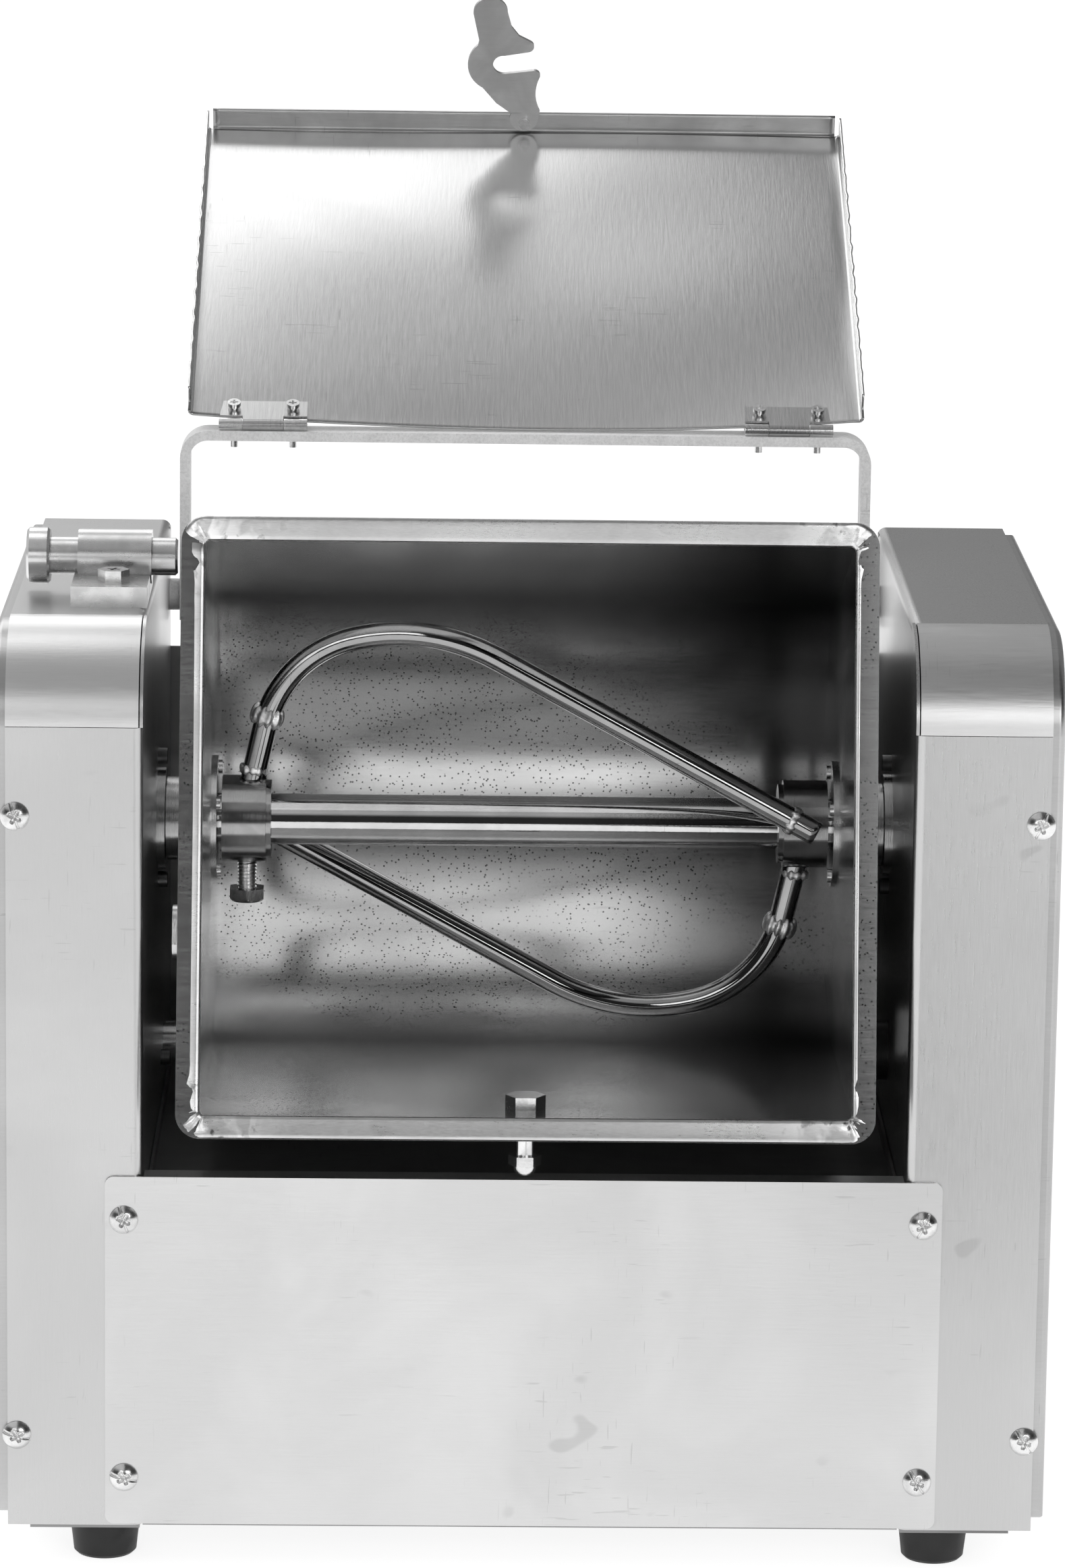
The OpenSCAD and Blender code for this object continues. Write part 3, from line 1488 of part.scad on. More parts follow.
lobe_c = [-0.4, 2.4];
lobe_r = 7.5;
shoulder_p = [-15.4, 12];
bulge_off = [-2.9, -0.2];
bulge_r = 16.2;
neck_off = [-13.1, 14.5];
tab_off = [-7.2, 31.6];
tab_r = 9.2;
tab_heel = 4.2;
jaw_heel_off = [8.2, 17.6];
far_jaw_off = [13, 11.2];
far_jaw_r = 3.3;
near_jaw_off = [16.7, -6.5];
near_jaw_r = 3.1;
waist_c = [31.5, 18];
waist_r = 25.8;
lobe_deg = [-14, -205];
bulge_deg = [240, 132];
tab_deg = [182, -2];
far_jaw_deg = [62, -78];
slot_deg = [84, 276];
near_jaw_deg = [92, -14];
waist_deg = [158, 205];

module hook_outline() {
    slot_c = [-hook_side, hook_drop];
    difference() {
        polygon(concat(
            arc(lobe_c, lobe_r, lobe_deg[0], lobe_deg[1], 18),
            [shoulder_p],
            arc(slot_c + bulge_off, bulge_r, bulge_deg[0], bulge_deg[1], 14),
            [slot_c + neck_off],
            arc(slot_c + tab_off, tab_r, tab_deg[0], tab_deg[1], 18),
            [slot_c + tab_off + [tab_r + tab_heel / 2, -2 * tab_heel], slot_c + jaw_heel_off],
            arc(slot_c + far_jaw_off, far_jaw_r, far_jaw_deg[0], far_jaw_deg[1], 7),
            arc(slot_c, hook_slot / 2, slot_deg[0], slot_deg[1], 18),
            arc(slot_c + near_jaw_off, near_jaw_r, near_jaw_deg[0], near_jaw_deg[1], 7),
            arc(waist_c, waist_r, waist_deg[0], waist_deg[1], 10)));
        circle(d = rivet_d + 2 * run_gap);
    }
}

module hook_place() {
    lid_place() translate([0, hook_y, pivot_z]) rotate([-90, 0, 0]) children();
}

module latch_hook() {
    color("gray") hook_place() linear_extrude(hook_t) hook_outline();
}

module latch_rivet() {
    head_r = rivet_d * 0.62;
    head_h = 2;
    color("silver") hook_place() {
        translate([0, 0, -hook_gap - lid_t]) cylinder(d = rivet_d, h = lid_t + hook_gap + hook_t + hook_gap);
        translate([0, 0, hook_t + hook_gap / 2]) cylinder(r = head_r, h = head_h);
        translate([0, 0, -hook_gap - lid_t - head_h / 2]) cylinder(r = head_r, h = head_h / 2);
    }
}

left_inner_shell();
right_inner_shell();
left_corner_cap();
right_corner_cap();
left_side_cover();
right_side_cover();
front_panel();
rear_panel();
base_pan();
drip_tray();
foot_plates();
feet();
panel_screws();
cover_screws();
lid_bracket();
bracket_bolts();
bracket_spacers();
hinge_frame_leaves();
hinge_pins();
hinge_frame_screws();
pin_sleeve();
sleeve_bolt();
left_bearing();
right_bearing();
bearing_bolts();
wall_discs();
stop_buffer();
jackshaft_bearings();
motor_body();
drive_belt();
switch_box();
cable_gland();
tub_shell();
tub_bushes();
seal_plates();
bush_screws();
lock_boss();
stop_lug();
catch_bolt();
catch_nut();
main_shaft();
clamp_collar();
drive_hub();
collar_bolt();
upper_arm();
lower_arm();
main_gear();
jackshaft();
pinion();
driven_pulley();
motor_shaft();
motor_pulley();
lid_panel();
hinge_lid_leaves();
hinge_lid_screws();
latch_hook();
latch_rivet();
lock_pin();
start_button();
stop_button();
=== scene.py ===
"""Looks of a small tilting dough mixer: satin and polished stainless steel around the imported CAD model.

Sizes are in millimetres unless a name or a comment says otherwise, and MM turns them into Blender's metres.
Patterns in materials, the floor and the lamps are in metres. Tones and glows are linear, with white at 1.
"""

import math

import bmesh
import bpy
import numpy as np
from mathutils import Matrix


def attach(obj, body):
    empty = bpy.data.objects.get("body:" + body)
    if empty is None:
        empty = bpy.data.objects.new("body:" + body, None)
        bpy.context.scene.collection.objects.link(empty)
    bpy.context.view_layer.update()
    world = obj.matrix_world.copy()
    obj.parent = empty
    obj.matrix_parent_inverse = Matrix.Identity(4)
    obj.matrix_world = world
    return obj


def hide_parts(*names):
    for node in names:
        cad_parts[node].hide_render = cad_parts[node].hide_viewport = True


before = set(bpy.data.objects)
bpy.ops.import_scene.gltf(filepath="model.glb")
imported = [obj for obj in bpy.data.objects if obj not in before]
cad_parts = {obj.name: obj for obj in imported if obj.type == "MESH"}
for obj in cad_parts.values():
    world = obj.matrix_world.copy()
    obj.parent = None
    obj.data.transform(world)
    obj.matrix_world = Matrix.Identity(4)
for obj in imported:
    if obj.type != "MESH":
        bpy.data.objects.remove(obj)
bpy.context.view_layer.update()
MM = 0.001

# Sizes shared with the CAD model: the tub's swing axis and tip, its mouth, the agitator and the lid's hinge.
AXIS_Y, AXIS_Z = 9.5, 329.7
TILT = math.radians(76)
MOUTH_H, TUB_HALF = 154.0, 153.0
FRONT_REACH, REAR_REACH, RIM_W = 143.5, 126.0, 11.0
RIM_MIDDLE_Z = AXIS_Z + MOUTH_H * math.cos(TILT) - (FRONT_REACH - REAR_REACH) / 2 * math.sin(TILT)
HUB_R, HUB_X, HUB_LEN = 21.5, 124.4, 24.0
ARM_R = 6.0
COLLAR_BOLT_R = 5.0
HINGE_Y, HINGE_Z = 137.5, 505.548
LID_SWING = math.radians(156)

# The camera that was fitted to the photograph, with its lens and its aim in the photograph's pixels.
PHOTO_W, PHOTO_H = 1579, 2324
LENS_PX = 9826
AIM_X_PX, AIM_Y_PX = 930, 1132
CAMERA_YAW, CAMERA_DOWN, CAMERA_ROLL = math.radians(1.616), math.radians(11.772), math.radians(0.895)
CAMERA_PLACE = np.array([-39.86, -3177.63, 1023.5])
SENSOR_MM = 36.0


# Camera


def placed(x_axis, y_axis, z_axis, place):
    """The matrix of something that stands at a place with its three axes along the given directions."""
    return Matrix([[x_axis[i], y_axis[i], z_axis[i], place[i]] for i in range(3)] + [[0, 0, 0, 1]])


def make_camera():
    """A camera where the photographer stood: turned by yaw, tipped down, then rolled about its own aim."""
    yaw, down, roll = CAMERA_YAW, CAMERA_DOWN, CAMERA_ROLL
    forward = np.array([math.sin(yaw) * math.cos(down), math.cos(yaw) * math.cos(down), -math.sin(down)])
    level = np.array([math.cos(yaw), -math.sin(yaw), 0.0])
    up = np.cross(level, forward)
    right = math.cos(roll) * level + math.sin(roll) * up
    top = -math.sin(roll) * level + math.cos(roll) * up
    data = bpy.data.cameras.new("camera")
    data.sensor_width = SENSOR_MM
    data.lens = LENS_PX * SENSOR_MM / PHOTO_H
    data.shift_x = (PHOTO_W / 2 - AIM_X_PX) / PHOTO_H
    data.shift_y = (AIM_Y_PX - PHOTO_H / 2) / PHOTO_H
    data.clip_start = 0.1
    data.clip_end = 60.0
    camera = bpy.data.objects.new("camera", data)
    bpy.context.scene.collection.objects.link(camera)
    camera.matrix_world = placed(right, top, -forward, CAMERA_PLACE * MM)
    bpy.context.scene.camera = camera


make_camera()


# Shader node helpers


def node(tree, kind, values=None, links=None, **settings):
    """Adds a node, sets its own properties and its unlinked sockets, and links sockets to others' outputs."""
    made = tree.nodes.new(kind)
    for name, value in settings.items():
        setattr(made, name, value)
    for key, value in (values or {}).items():
        made.inputs[key].default_value = value
    for key, source in (links or {}).items():
        tree.links.new(made.inputs[key], source)
    return made


def combine(tree, operation, first, second):
    """One step of arithmetic on two values, where the second may be a plain number."""
    if isinstance(second, (int, float)):
        return node(tree, "ShaderNodeMath", {1: second}, {0: first}, operation=operation).outputs[0]
    return node(tree, "ShaderNodeMath", links={0: first, 1: second}, operation=operation).outputs[0]


def product(tree, first, second):
    """Two values multiplied."""
    return combine(tree, "MULTIPLY", first, second)


def larger(tree, first, second):
    """The larger of two values."""
    return combine(tree, "MAXIMUM", first, second)


def ramp(tree, value, start, end, low=0.0, high=1.0, eased=False):
    """A value that goes from low to high as another goes from start to end, and is level on either side."""
    limits = {"From Min": start, "From Max": end, "To Min": low, "To Max": high}
    course = "SMOOTHSTEP" if eased else "LINEAR"
    return node(tree, "ShaderNodeMapRange", limits, {"Value": value}, interpolation_type=course).outputs[0]


def mix(tree, factor, low, high):
    """A value that goes from low to high as the factor goes from 0 to 1."""
    return ramp(tree, factor, 0.0, 1.0, low, high)


def noise(tree, place, scale, detail, **more):
    """Cloudy noise between 0 and 1 round a place, where scale may be a number or another node's output."""
    values = {"Detail": detail}
    values.update({key.capitalize(): value for key, value in more.items()})
    links = {"Vector": place}
    if isinstance(scale, (int, float)):
        values["Scale"] = scale
    else:
        links["Scale"] = scale
    return node(tree, "ShaderNodeTexNoise", values, links).outputs["Fac"]


def object_place(tree):
    """Object coordinates, which move with the piece."""
    return node(tree, "ShaderNodeTexCoord").outputs["Object"]


def split(tree, vector):
    """The three parts of a vector, by the names X, Y and Z."""
    return node(tree, "ShaderNodeSeparateXYZ", links={0: vector}).outputs


# Shared surface effects


FLOAT, VECTOR = "NodeSocketFloat", "NodeSocketVector"


def effect(name, inputs, outputs):
    """Starts a shader node group: returns its tree, its inputs' node and its outputs' node."""
    tree = bpy.data.node_groups.new(name, "ShaderNodeTree")
    for label, kind, start in inputs:
        socket = tree.interface.new_socket(name=label, in_out="INPUT", socket_type=kind)
        if start is not None:
            socket.default_value = start
    for label, kind in outputs:
        tree.interface.new_socket(name=label, in_out="OUTPUT", socket_type=kind)
    return tree, tree.nodes.new("NodeGroupInput"), tree.nodes.new("NodeGroupOutput")


def make_grain():
    """Brushing: noise that is stretched along one axis, given by the three scales of Spread."""
    inputs = [("Place", VECTOR, None), ("Spread", VECTOR, (1, 1, 1))]
    tree, into, out = effect("grain", inputs, [("Lines", FLOAT)])
    ends = {0: into.outputs["Place"], 1: into.outputs["Spread"]}
    place = node(tree, "ShaderNodeVectorMath", links=ends, operation="MULTIPLY").outputs[0]
    tree.links.new(out.inputs["Lines"], noise(tree, place, 1.0, 3.0, roughness=0.7))
    return tree


def make_handling():
    """Handling marks: broad cloudy smudges, and sparse short hairlines.

    The hairlines are the peaks of three turned, stretched noises, kept only in patches. Each ramp's limits
    cut its noise to the share of the surface that carries the mark.
    """
    inputs = [("Place", VECTOR, None), ("Size", FLOAT, 1.0)]
    tree, into, out = effect("handling", inputs, [("Smudge", FLOAT), ("Scratch", FLOAT)])
    place = into.outputs["Place"]
    cloud = noise(tree, place, into.outputs["Size"], 4.0, roughness=0.55, distortion=0.6)
    tree.links.new(out.inputs["Smudge"], ramp(tree, cloud, 0.35, 0.68, eased=True))
    worn = ramp(tree, noise(tree, place, 16.0, 2.0), 0.5, 0.62, eased=True)
    hairlines = []
    for turn, stretch in ((0.5, (40, 900, 60)), (-1.1, (900, 45, 60)), (2.2, (60, 800, 700))):
        values = {"Rotation": (turn, turn * 0.7, turn), "Scale": stretch}
        turned = node(tree, "ShaderNodeMapping", values, {"Vector": place}).outputs[0]
        hairlines.append(ramp(tree, noise(tree, turned, 1.0, 1.0), 0.7, 0.76, eased=True))
    total = larger(tree, larger(tree, hairlines[0], hairlines[1]), hairlines[2])
    tree.links.new(out.inputs["Scratch"], product(tree, total, worn))
    return tree


def make_specks():
    """Small dark pits: the middles of scattered cells, kept only where a second noise is high."""
    inputs = [("Place", VECTOR, None), ("Size", FLOAT, 400.0), ("Reach", FLOAT, 0.2)]
    tree, into, out = effect("specks", inputs, [("Pits", FLOAT)])
    place = into.outputs["Place"]
    ends = {"Vector": place, "Scale": into.outputs["Size"]}
    cells = node(tree, "ShaderNodeTexVoronoi", {"Randomness": 1.0}, ends)
    dots = combine(tree, "LESS_THAN", cells.outputs["Distance"], into.outputs["Reach"])
    thick = ramp(tree, noise(tree, place, 14.0, 3.0), 0.4, 0.55)
    tree.links.new(out.inputs["Pits"], product(tree, dots, thick))
    return tree


GRAIN, HANDLING, SPECKS = make_grain(), make_handling(), make_specks()


def use(tree, group, values, place):
    """Puts an effect into a material, with its own values and the given place, and returns its outputs."""
    made = node(tree, "ShaderNodeGroup", node_tree=group)
    for key, value in values.items():
        made.inputs[key].default_value = value
    tree.links.new(made.inputs["Place"], place)
    return made.outputs


# Materials


PIT_REACH = 0.22
ROUGH_SWING, SMEAR_ROUGHENS = 0.25, 1.5
RELIEF_M, RELIEF_GAIN = 0.0002, 10
TONE_WANDER, GLOSS_WANDER, PAINT_RELIEF = 0.2, 0.15, 0.1
CLOUDS_PER_M, PAINT_GRAINS_PER_M = 60.0, 900.0
# Where the rim's ground corners begin and are complete, in metres from its middle, across and up.
CORNER_X, CORNER_Z = (0.11, 0.155), (0.1, 0.13)
BRIGHT_PATCH, DARK_PIT = (1.0, 1.0, 1.0, 1), (0.06, 0.06, 0.06, 1)


def new_material(name):
    """An empty node material: returns it, its tree and its Principled BSDF."""
    material = bpy.data.materials.new(name)
    material.use_nodes = True
    tree = material.node_tree
    return material, tree, tree.nodes["Principled BSDF"]


def relief(tree, strength, height):
    """The surface's direction with fine relief in it, as high as the height says and as strong as given."""
    values = {"Strength": strength, "Distance": RELIEF_M}
    return node(tree, "ShaderNodeBump", values, {"Height": height}).outputs[0]


def steel(name, tone, rough, spread=(40, 900, 40), lines=0.12, smudge=0.12, scratch=0.2, size=7.0,
          pits=0.0, pit_size=420.0, bump=0.02, metal=1.0, brushed=0.0, painted_shade_end=None):
    """Bare steel: a grey metal whose tone, roughness and height carry grain, smudges, scratches and pits.

    Where metal is below 1, the surface scatters light as chalk does, like a blasted one. A brushed one, with
    its lines along X, spreads its reflections round X more than along it. One with painted shade at its right
    end loses a share of its tone between two places in metres: the last argument gives the places and then
    the share.
    Roughness swings by a quarter either way with the grain, and smudges add to it.
    """
    material, tree, shader = new_material(name)
    shader.inputs["Metallic"].default_value = metal
    shader.inputs["Anisotropic"].default_value = brushed
    if brushed:
        around = node(tree, "ShaderNodeTangent", direction_type="RADIAL", axis="X")
        tree.links.new(shader.inputs["Tangent"], around.outputs[0])
    place = object_place(tree)
    grain = use(tree, GRAIN, {"Spread": spread}, place)["Lines"]
    marks = use(tree, HANDLING, {"Size": size}, place)
    shade = mix(tree, grain, 1 - lines, 1 + lines)
    shade = product(tree, shade, mix(tree, marks["Smudge"], 1.0, 1 - smudge))
    shade = product(tree, shade, mix(tree, marks["Scratch"], 1.0, 1 - scratch))
    if pits:
        dots = use(tree, SPECKS, {"Size": pit_size, "Reach": PIT_REACH}, place)["Pits"]
        shade = product(tree, shade, mix(tree, dots, 1.0, 1 - pits))
    # Painted shade: the tone falls by the given share towards the piece's right end, along X.
    if painted_shade_end:
        start, end, loss = painted_shade_end
        along = split(tree, place)["X"]
        shade = product(tree, shade, ramp(tree, along, start, end, 1.0, 1 - loss, eased=True))
    shade = product(tree, shade, tone)
    colour = node(tree, "ShaderNodeCombineColor", links={"Red": shade, "Green": shade, "Blue": shade})
    tree.links.new(shader.inputs["Base Color"], colour.outputs[0])
    smeared = mix(tree, marks["Smudge"], 1.0, 1 + SMEAR_ROUGHENS * smudge)
    dull = product(tree, mix(tree, grain, rough * (1 - ROUGH_SWING), rough * (1 + ROUGH_SWING)), smeared)
    tree.links.new(shader.inputs["Roughness"], dull)
    tree.links.new(shader.inputs["Normal"], relief(tree, bump * RELIEF_GAIN, grain))
    return material


def coated(name, colour, rough, coat=0.0):
    """Paint, rubber or plastic: one colour whose lightness and roughness wander, over a fine relief."""
    material, tree, shader = new_material(name)
    shader.inputs["Coat Weight"].default_value = coat
    place = object_place(tree)
    cloud = use(tree, HANDLING, {"Size": CLOUDS_PER_M}, place)["Smudge"]
    mixed = node(tree, "ShaderNodeCombineColor")
    for channel, amount in zip(("Red", "Green", "Blue"), colour):
        shade = mix(tree, cloud, amount * (1 - TONE_WANDER), amount * (1 + TONE_WANDER))
        tree.links.new(mixed.inputs[channel], shade)
    tree.links.new(shader.inputs["Base Color"], mixed.outputs[0])
    gloss = mix(tree, cloud, rough * (1 - GLOSS_WANDER), rough * (1 + GLOSS_WANDER))
    tree.links.new(shader.inputs["Roughness"], gloss)
    fine = noise(tree, place, PAINT_GRAINS_PER_M, 2.0)
    tree.links.new(shader.inputs["Normal"], relief(tree, PAINT_RELIEF, fine))
    return material


def grind_corners(material):
    """Bright ground patches and a few dark weld pits near the tipped rim's corners, over its own tone."""
    tree = material.node_tree
    shader = tree.nodes["Principled BSDF"]
    place = object_place(tree)
    parts = split(tree, place)
    aside = node(tree, "ShaderNodeMath", links={0: parts["X"]}, operation="ABSOLUTE").outputs[0]
    level = combine(tree, "SUBTRACT", parts["Z"], RIM_MIDDLE_Z * MM)
    level = node(tree, "ShaderNodeMath", links={0: level}, operation="ABSOLUTE").outputs[0]
    near = product(tree, ramp(tree, aside, *CORNER_X), ramp(tree, level, *CORNER_Z))
    ground = ramp(tree, noise(tree, place, 55.0, 3.0, distortion=1.0), 0.47, 0.55)
    pits = ramp(tree, noise(tree, place, 130.0, 4.0), 0.6, 0.66)
    colour = shader.inputs["Base Color"].links[0].from_socket
    for mask, other in ((ground, BRIGHT_PATCH), (pits, DARK_PIT)):
        links = {"Factor": product(tree, near, mask)}
        mixed = node(tree, "ShaderNodeMix", {"B": other}, links, data_type="RGBA")
        tree.links.new(mixed.inputs["A"], colour)
        colour = mixed.outputs["Result"]
    tree.links.new(shader.inputs["Base Color"], colour)


# Finishes, and the CAD nodes that wear them


FINISH = {
    "housing": steel("satin_housing", 0.62, 0.29, spread=(900, 900, 60), lines=0.05, smudge=0.06,
                     scratch=0.12),
    "cap": steel("drawn_corner", 0.8, 0.35, spread=(60, 900, 900), lines=0.05, smudge=0.05, scratch=0.1),
    "cover": steel("rolled_cover", 0.55, 0.3, spread=(60, 900, 900), lines=0.08, smudge=0.1),
    "panel": steel("bright_panel", 0.74, 0.34, spread=(50, 900, 900), lines=0.04, smudge=0.07, scratch=0.14,
                   size=9.0),
    "hidden": steel("dull_sheet", 0.35, 0.45, smudge=0.2),
    # The tub's sheet has painted shade over its right end: its tone falls by 60 % from 3 to 14 cm along X.
    "tub": steel("tub_sheet", 0.79, 0.15, spread=(60, 700, 700), lines=0.06, scratch=0.1, size=9.0,
                 pits=0.75, pit_size=450.0, bump=0.003, brushed=0.8, painted_shade_end=(0.03, 0.14, 0.6)),
    "lid": steel("lid_sheet", 0.7, 0.22, spread=(700, 60, 60), lines=0.04, smudge=0.08, scratch=0.15,
                 size=6.0),
    "polished": steel("mirror_bar", 0.66, 0.05, spread=(300, 900, 900), lines=0.05, smudge=0.15, scratch=0.3,
                      size=40.0, bump=0.004),
    # The arms wear the polished bar's steel at a lower tone: painted shade that darkens their reflections.
    "arm": steel("mirror_arm_painted_shade", 0.36, 0.04, spread=(300, 900, 900), lines=0.05, smudge=0.15, scratch=0.3,
                 size=40.0, bump=0.004),
    "turned": steel("turned_steel", 0.62, 0.22, spread=(1800, 200, 200), smudge=0.15, size=40.0),
    "hub": steel("oiled_hub", 0.4, 0.14, spread=(1800, 200, 200), smudge=0.2, size=40.0, bump=0.008),
    "dark": steel("dark_steel", 0.22, 0.4, spread=(900, 200, 200), lines=0.2, smudge=0.3, size=40.0),
    "cast": steel("cast_block", 0.8, 0.24, spread=(60, 400, 400), lines=0.06, smudge=0.2, size=45.0,
                  bump=0.012),
    "grained": steel("grained_bar", 0.98, 0.35, spread=(700, 700, 700), lines=0.3, smudge=0.1, size=60.0,
                     bump=0.04, metal=0.0),
    "lid_fold": steel("lid_fold", 0.62, 0.3, spread=(60, 900, 900), smudge=0.25, size=16.0),
    "weld": steel("weld_bead", 0.95, 0.3, spread=(700, 700, 700), lines=0.3, smudge=0.4, size=120.0,
                  bump=0.1),
    "rim": steel("ground_rim", 0.68, 0.28, spread=(300, 300, 1500), lines=0.15, smudge=0.15, scratch=0.08,
                 size=20.0),
    "hook": steel("hook_plate", 0.66, 0.34, spread=(60, 1200, 60), lines=0.1, smudge=0.2, size=30.0),
    "screw": steel("bright_screw", 0.86, 0.2, spread=(900, 900, 900), lines=0.1, smudge=0.2, size=90.0),
    "iron": steel("oiled_iron", 0.16, 0.42, spread=(500, 500, 500), lines=0.2, smudge=0.4, size=40.0),
    "rubber": coated("black_rubber", (0.018, 0.018, 0.018), 0.55),
    "plastic": coated("black_plastic", (0.03, 0.03, 0.03), 0.4),
    "enamel": coated("grey_enamel", (0.09, 0.1, 0.11), 0.35, coat=0.3),
    "green": coated("green_cap", (0.02, 0.25, 0.06), 0.25, coat=0.4),
    "red": coated("red_cap", (0.45, 0.02, 0.015), 0.25, coat=0.4),
}
grind_corners(FINISH["rim"])

WEARS = {
    "housing": ["left_inner_shell", "right_inner_shell"],
    "cap": ["left_corner_cap", "right_corner_cap"],
    "cover": ["left_side_cover", "right_side_cover"],
    "panel": ["front_panel"],
    "hidden": ["rear_panel", "base_pan", "drip_tray", "foot_plates"],
    "tub": ["tub_shell"],
    "lid": ["lid_panel", "hinge_lid_leaves"],
    "polished": ["main_shaft", "collar_bolt"],
    "arm": ["upper_arm", "lower_arm"],
    "cast": ["pin_sleeve", "lock_pin"],
    "turned": ["wall_discs", "tub_bushes", "seal_plates", "lock_boss", "stop_lug", "jackshaft",
               "motor_shaft"],
    "hub": ["drive_hub", "clamp_collar"],
    "dark": ["bearing_bolts"],
    "grained": ["lid_bracket", "bracket_bolts", "bracket_spacers"],
    "hook": ["latch_hook"],
    "screw": ["panel_screws", "cover_screws", "hinge_pins", "hinge_frame_leaves", "hinge_frame_screws",
              "hinge_lid_screws", "bush_screws", "sleeve_bolt", "latch_rivet", "catch_bolt", "catch_nut"],
    "iron": ["left_bearing", "right_bearing", "jackshaft_bearings", "main_gear", "pinion", "driven_pulley",
             "motor_pulley"],
    "rubber": ["feet", "drive_belt", "stop_buffer"],
    "plastic": ["switch_box", "cable_gland"],
    "enamel": ["motor_body"],
    "green": ["start_button"],
    "red": ["stop_button"],
}
for finish, names in WEARS.items():
    for name in names:
        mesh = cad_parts[name].data
        mesh.materials.clear()
        mesh.materials.append(FINISH[finish])


# Surfaces from formulas


MERGE_M, THIN_EDGE_M = 1e-7, 1e-8


def tipped(points, angle, pivot_y, pivot_z):
    """Places in a moving piece's own axes, turned about X by an angle and set at its pivot."""
    x, y, z = points[..., 0], points[..., 1], points[..., 2]
    c, s = math.cos(angle), math.sin(angle)
    return np.stack([x, pivot_y + y * c - z * s, pivot_z + y * s + z * c], -1)


def grid_faces(rows, cols, wrap_rows, wrap_cols, start):
    """Corner numbers of the faces between neighbours of a grid of points, counted from start."""
    index = np.arange(rows * cols).reshape(rows, cols) + start
    if wrap_rows:
        index = np.vstack([index, index[:1]])
    if wrap_cols:
        index = np.hstack([index, index[:, :1]])
    return np.stack([index[:-1, :-1], index[1:, :-1], index[1:, 1:], index[:-1, 1:]], -1).reshape(-1, 4)


def make_piece(name, grids, finish, body, wrap_rows=False, wrap_cols=False, smooth=True, thickness=None):
    """A piece from one or more grids of points, with doubled points merged and its faces turned outward."""
    faces = []
    start = 0
    for grid in grids:
        rows, cols = grid.shape[:2]
        faces.append(grid_faces(rows, cols, wrap_rows, wrap_cols, start))
        start += rows * cols
    points = np.concatenate([grid.reshape(-1, 3) for grid in grids]) * MM
    mesh = bpy.data.meshes.new(name)
    mesh.from_pydata(points.tolist(), [], np.concatenate(faces).tolist())
    edit = bmesh.new()
    edit.from_mesh(mesh)
    bmesh.ops.remove_doubles(edit, verts=edit.verts, dist=MERGE_M)
    bmesh.ops.dissolve_degenerate(edit, edges=edit.edges, dist=THIN_EDGE_M)
    bmesh.ops.recalc_face_normals(edit, faces=edit.faces)
    edit.to_mesh(mesh)
    edit.free()
    mesh.polygons.foreach_set("use_smooth", np.full(len(mesh.polygons), smooth))
    mesh.materials.append(FINISH[finish])
    piece = bpy.data.objects.new(name, mesh)
    bpy.context.scene.collection.objects.link(piece)
    if thickness:
        wall = piece.modifiers.new("wall", "SOLIDIFY")
        wall.thickness = thickness * MM
        wall.offset = -1.0
    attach(piece, body)
    return piece


def circle(count):
    """Angles of so many equal steps round a full turn."""
    return np.linspace(0, 2 * math.pi, count, endpoint=False)


def arc(centre, radius, first, last, steps):
    """Places on a flat circle, from one angle in degrees to another."""
    a = np.radians(np.linspace(first, last, steps))
    return np.stack([centre[0] + radius * np.cos(a), centre[1] + radius * np.sin(a)], -1)


def swept(path, radius, sides, level):
    """A tube along a path: round each place a ring, place + r (cos a * out + sin a * third), its ends closed.

    out is square to the path and to the direction level, which the path never follows, and third to both.
    """
    along = np.gradient(path, axis=0)
    along /= np.linalg.norm(along, axis=1, keepdims=True)
    out = np.cross(along, level)
    out /= np.linalg.norm(out, axis=1, keepdims=True)
    third = np.cross(out, along)
    turn = circle(sides)
    ring = np.cos(turn)[None, :, None] * out[:, None] + np.sin(turn)[None, :, None] * third[:, None]
    tube = path[:, None] + radius * ring
    first, last = (np.repeat(path[i][None, None], sides, axis=1) for i in (0, -1))
    return np.concatenate([first, tube, last])


# Agitator


# The upper arm's drawing, across and up from the shaft: where it leaves the left hub and meets the right
# one, its two bends' middles and radii, and the angles in degrees between which they run.
ARM_START_X, ARM_START_Z = -134.48, 17.2
ARM_END_X, ARM_END_Z = 143.5, 0.3
SHOULDER, SHOULDER_R = (-70.083, 34.108), 59
PEAK, PEAK_R = (-60.0, -4.6), 99
STUB_ANGLE, CREST_ANGLE, FALL_ANGLE = 167.105, 104.6, 62.294
ARM_SWING = math.radians(4.982)
AXIS = np.array([0, AXIS_Y, AXIS_Z])
# Steps of the centre line where beads of weld lie: at the shoulder, over the left hub and at the right hub.
KINK, FOOT, END = 15, 2, -3
BEAD_OUT, BEAD_ALONG = 0.62, 1.25
BOLT_STANDS_OUT = 13


def arm_line():
    """The upper arm's centre line: stub, shoulder bend, long bend and straight fall, swung forward."""
    shoulder = arc(SHOULDER, SHOULDER_R, STUB_ANGLE, CREST_ANGLE, 30)
    long_bend = arc(PEAK, PEAK_R, CREST_ANGLE, FALL_ANGLE, 34)
    flat = np.concatenate([
        np.linspace([ARM_START_X, ARM_START_Z], shoulder[0], 14)[:-1],
        shoulder[:-1],
        long_bend[:-1],
        np.linspace(long_bend[-1], [ARM_END_X, ARM_END_Z], 60),
    ])
    x = flat[:, 0] - ARM_START_X
    return np.stack([ARM_START_X + x * math.cos(ARM_SWING), -x * math.sin(ARM_SWING), flat[:, 1]], -1)


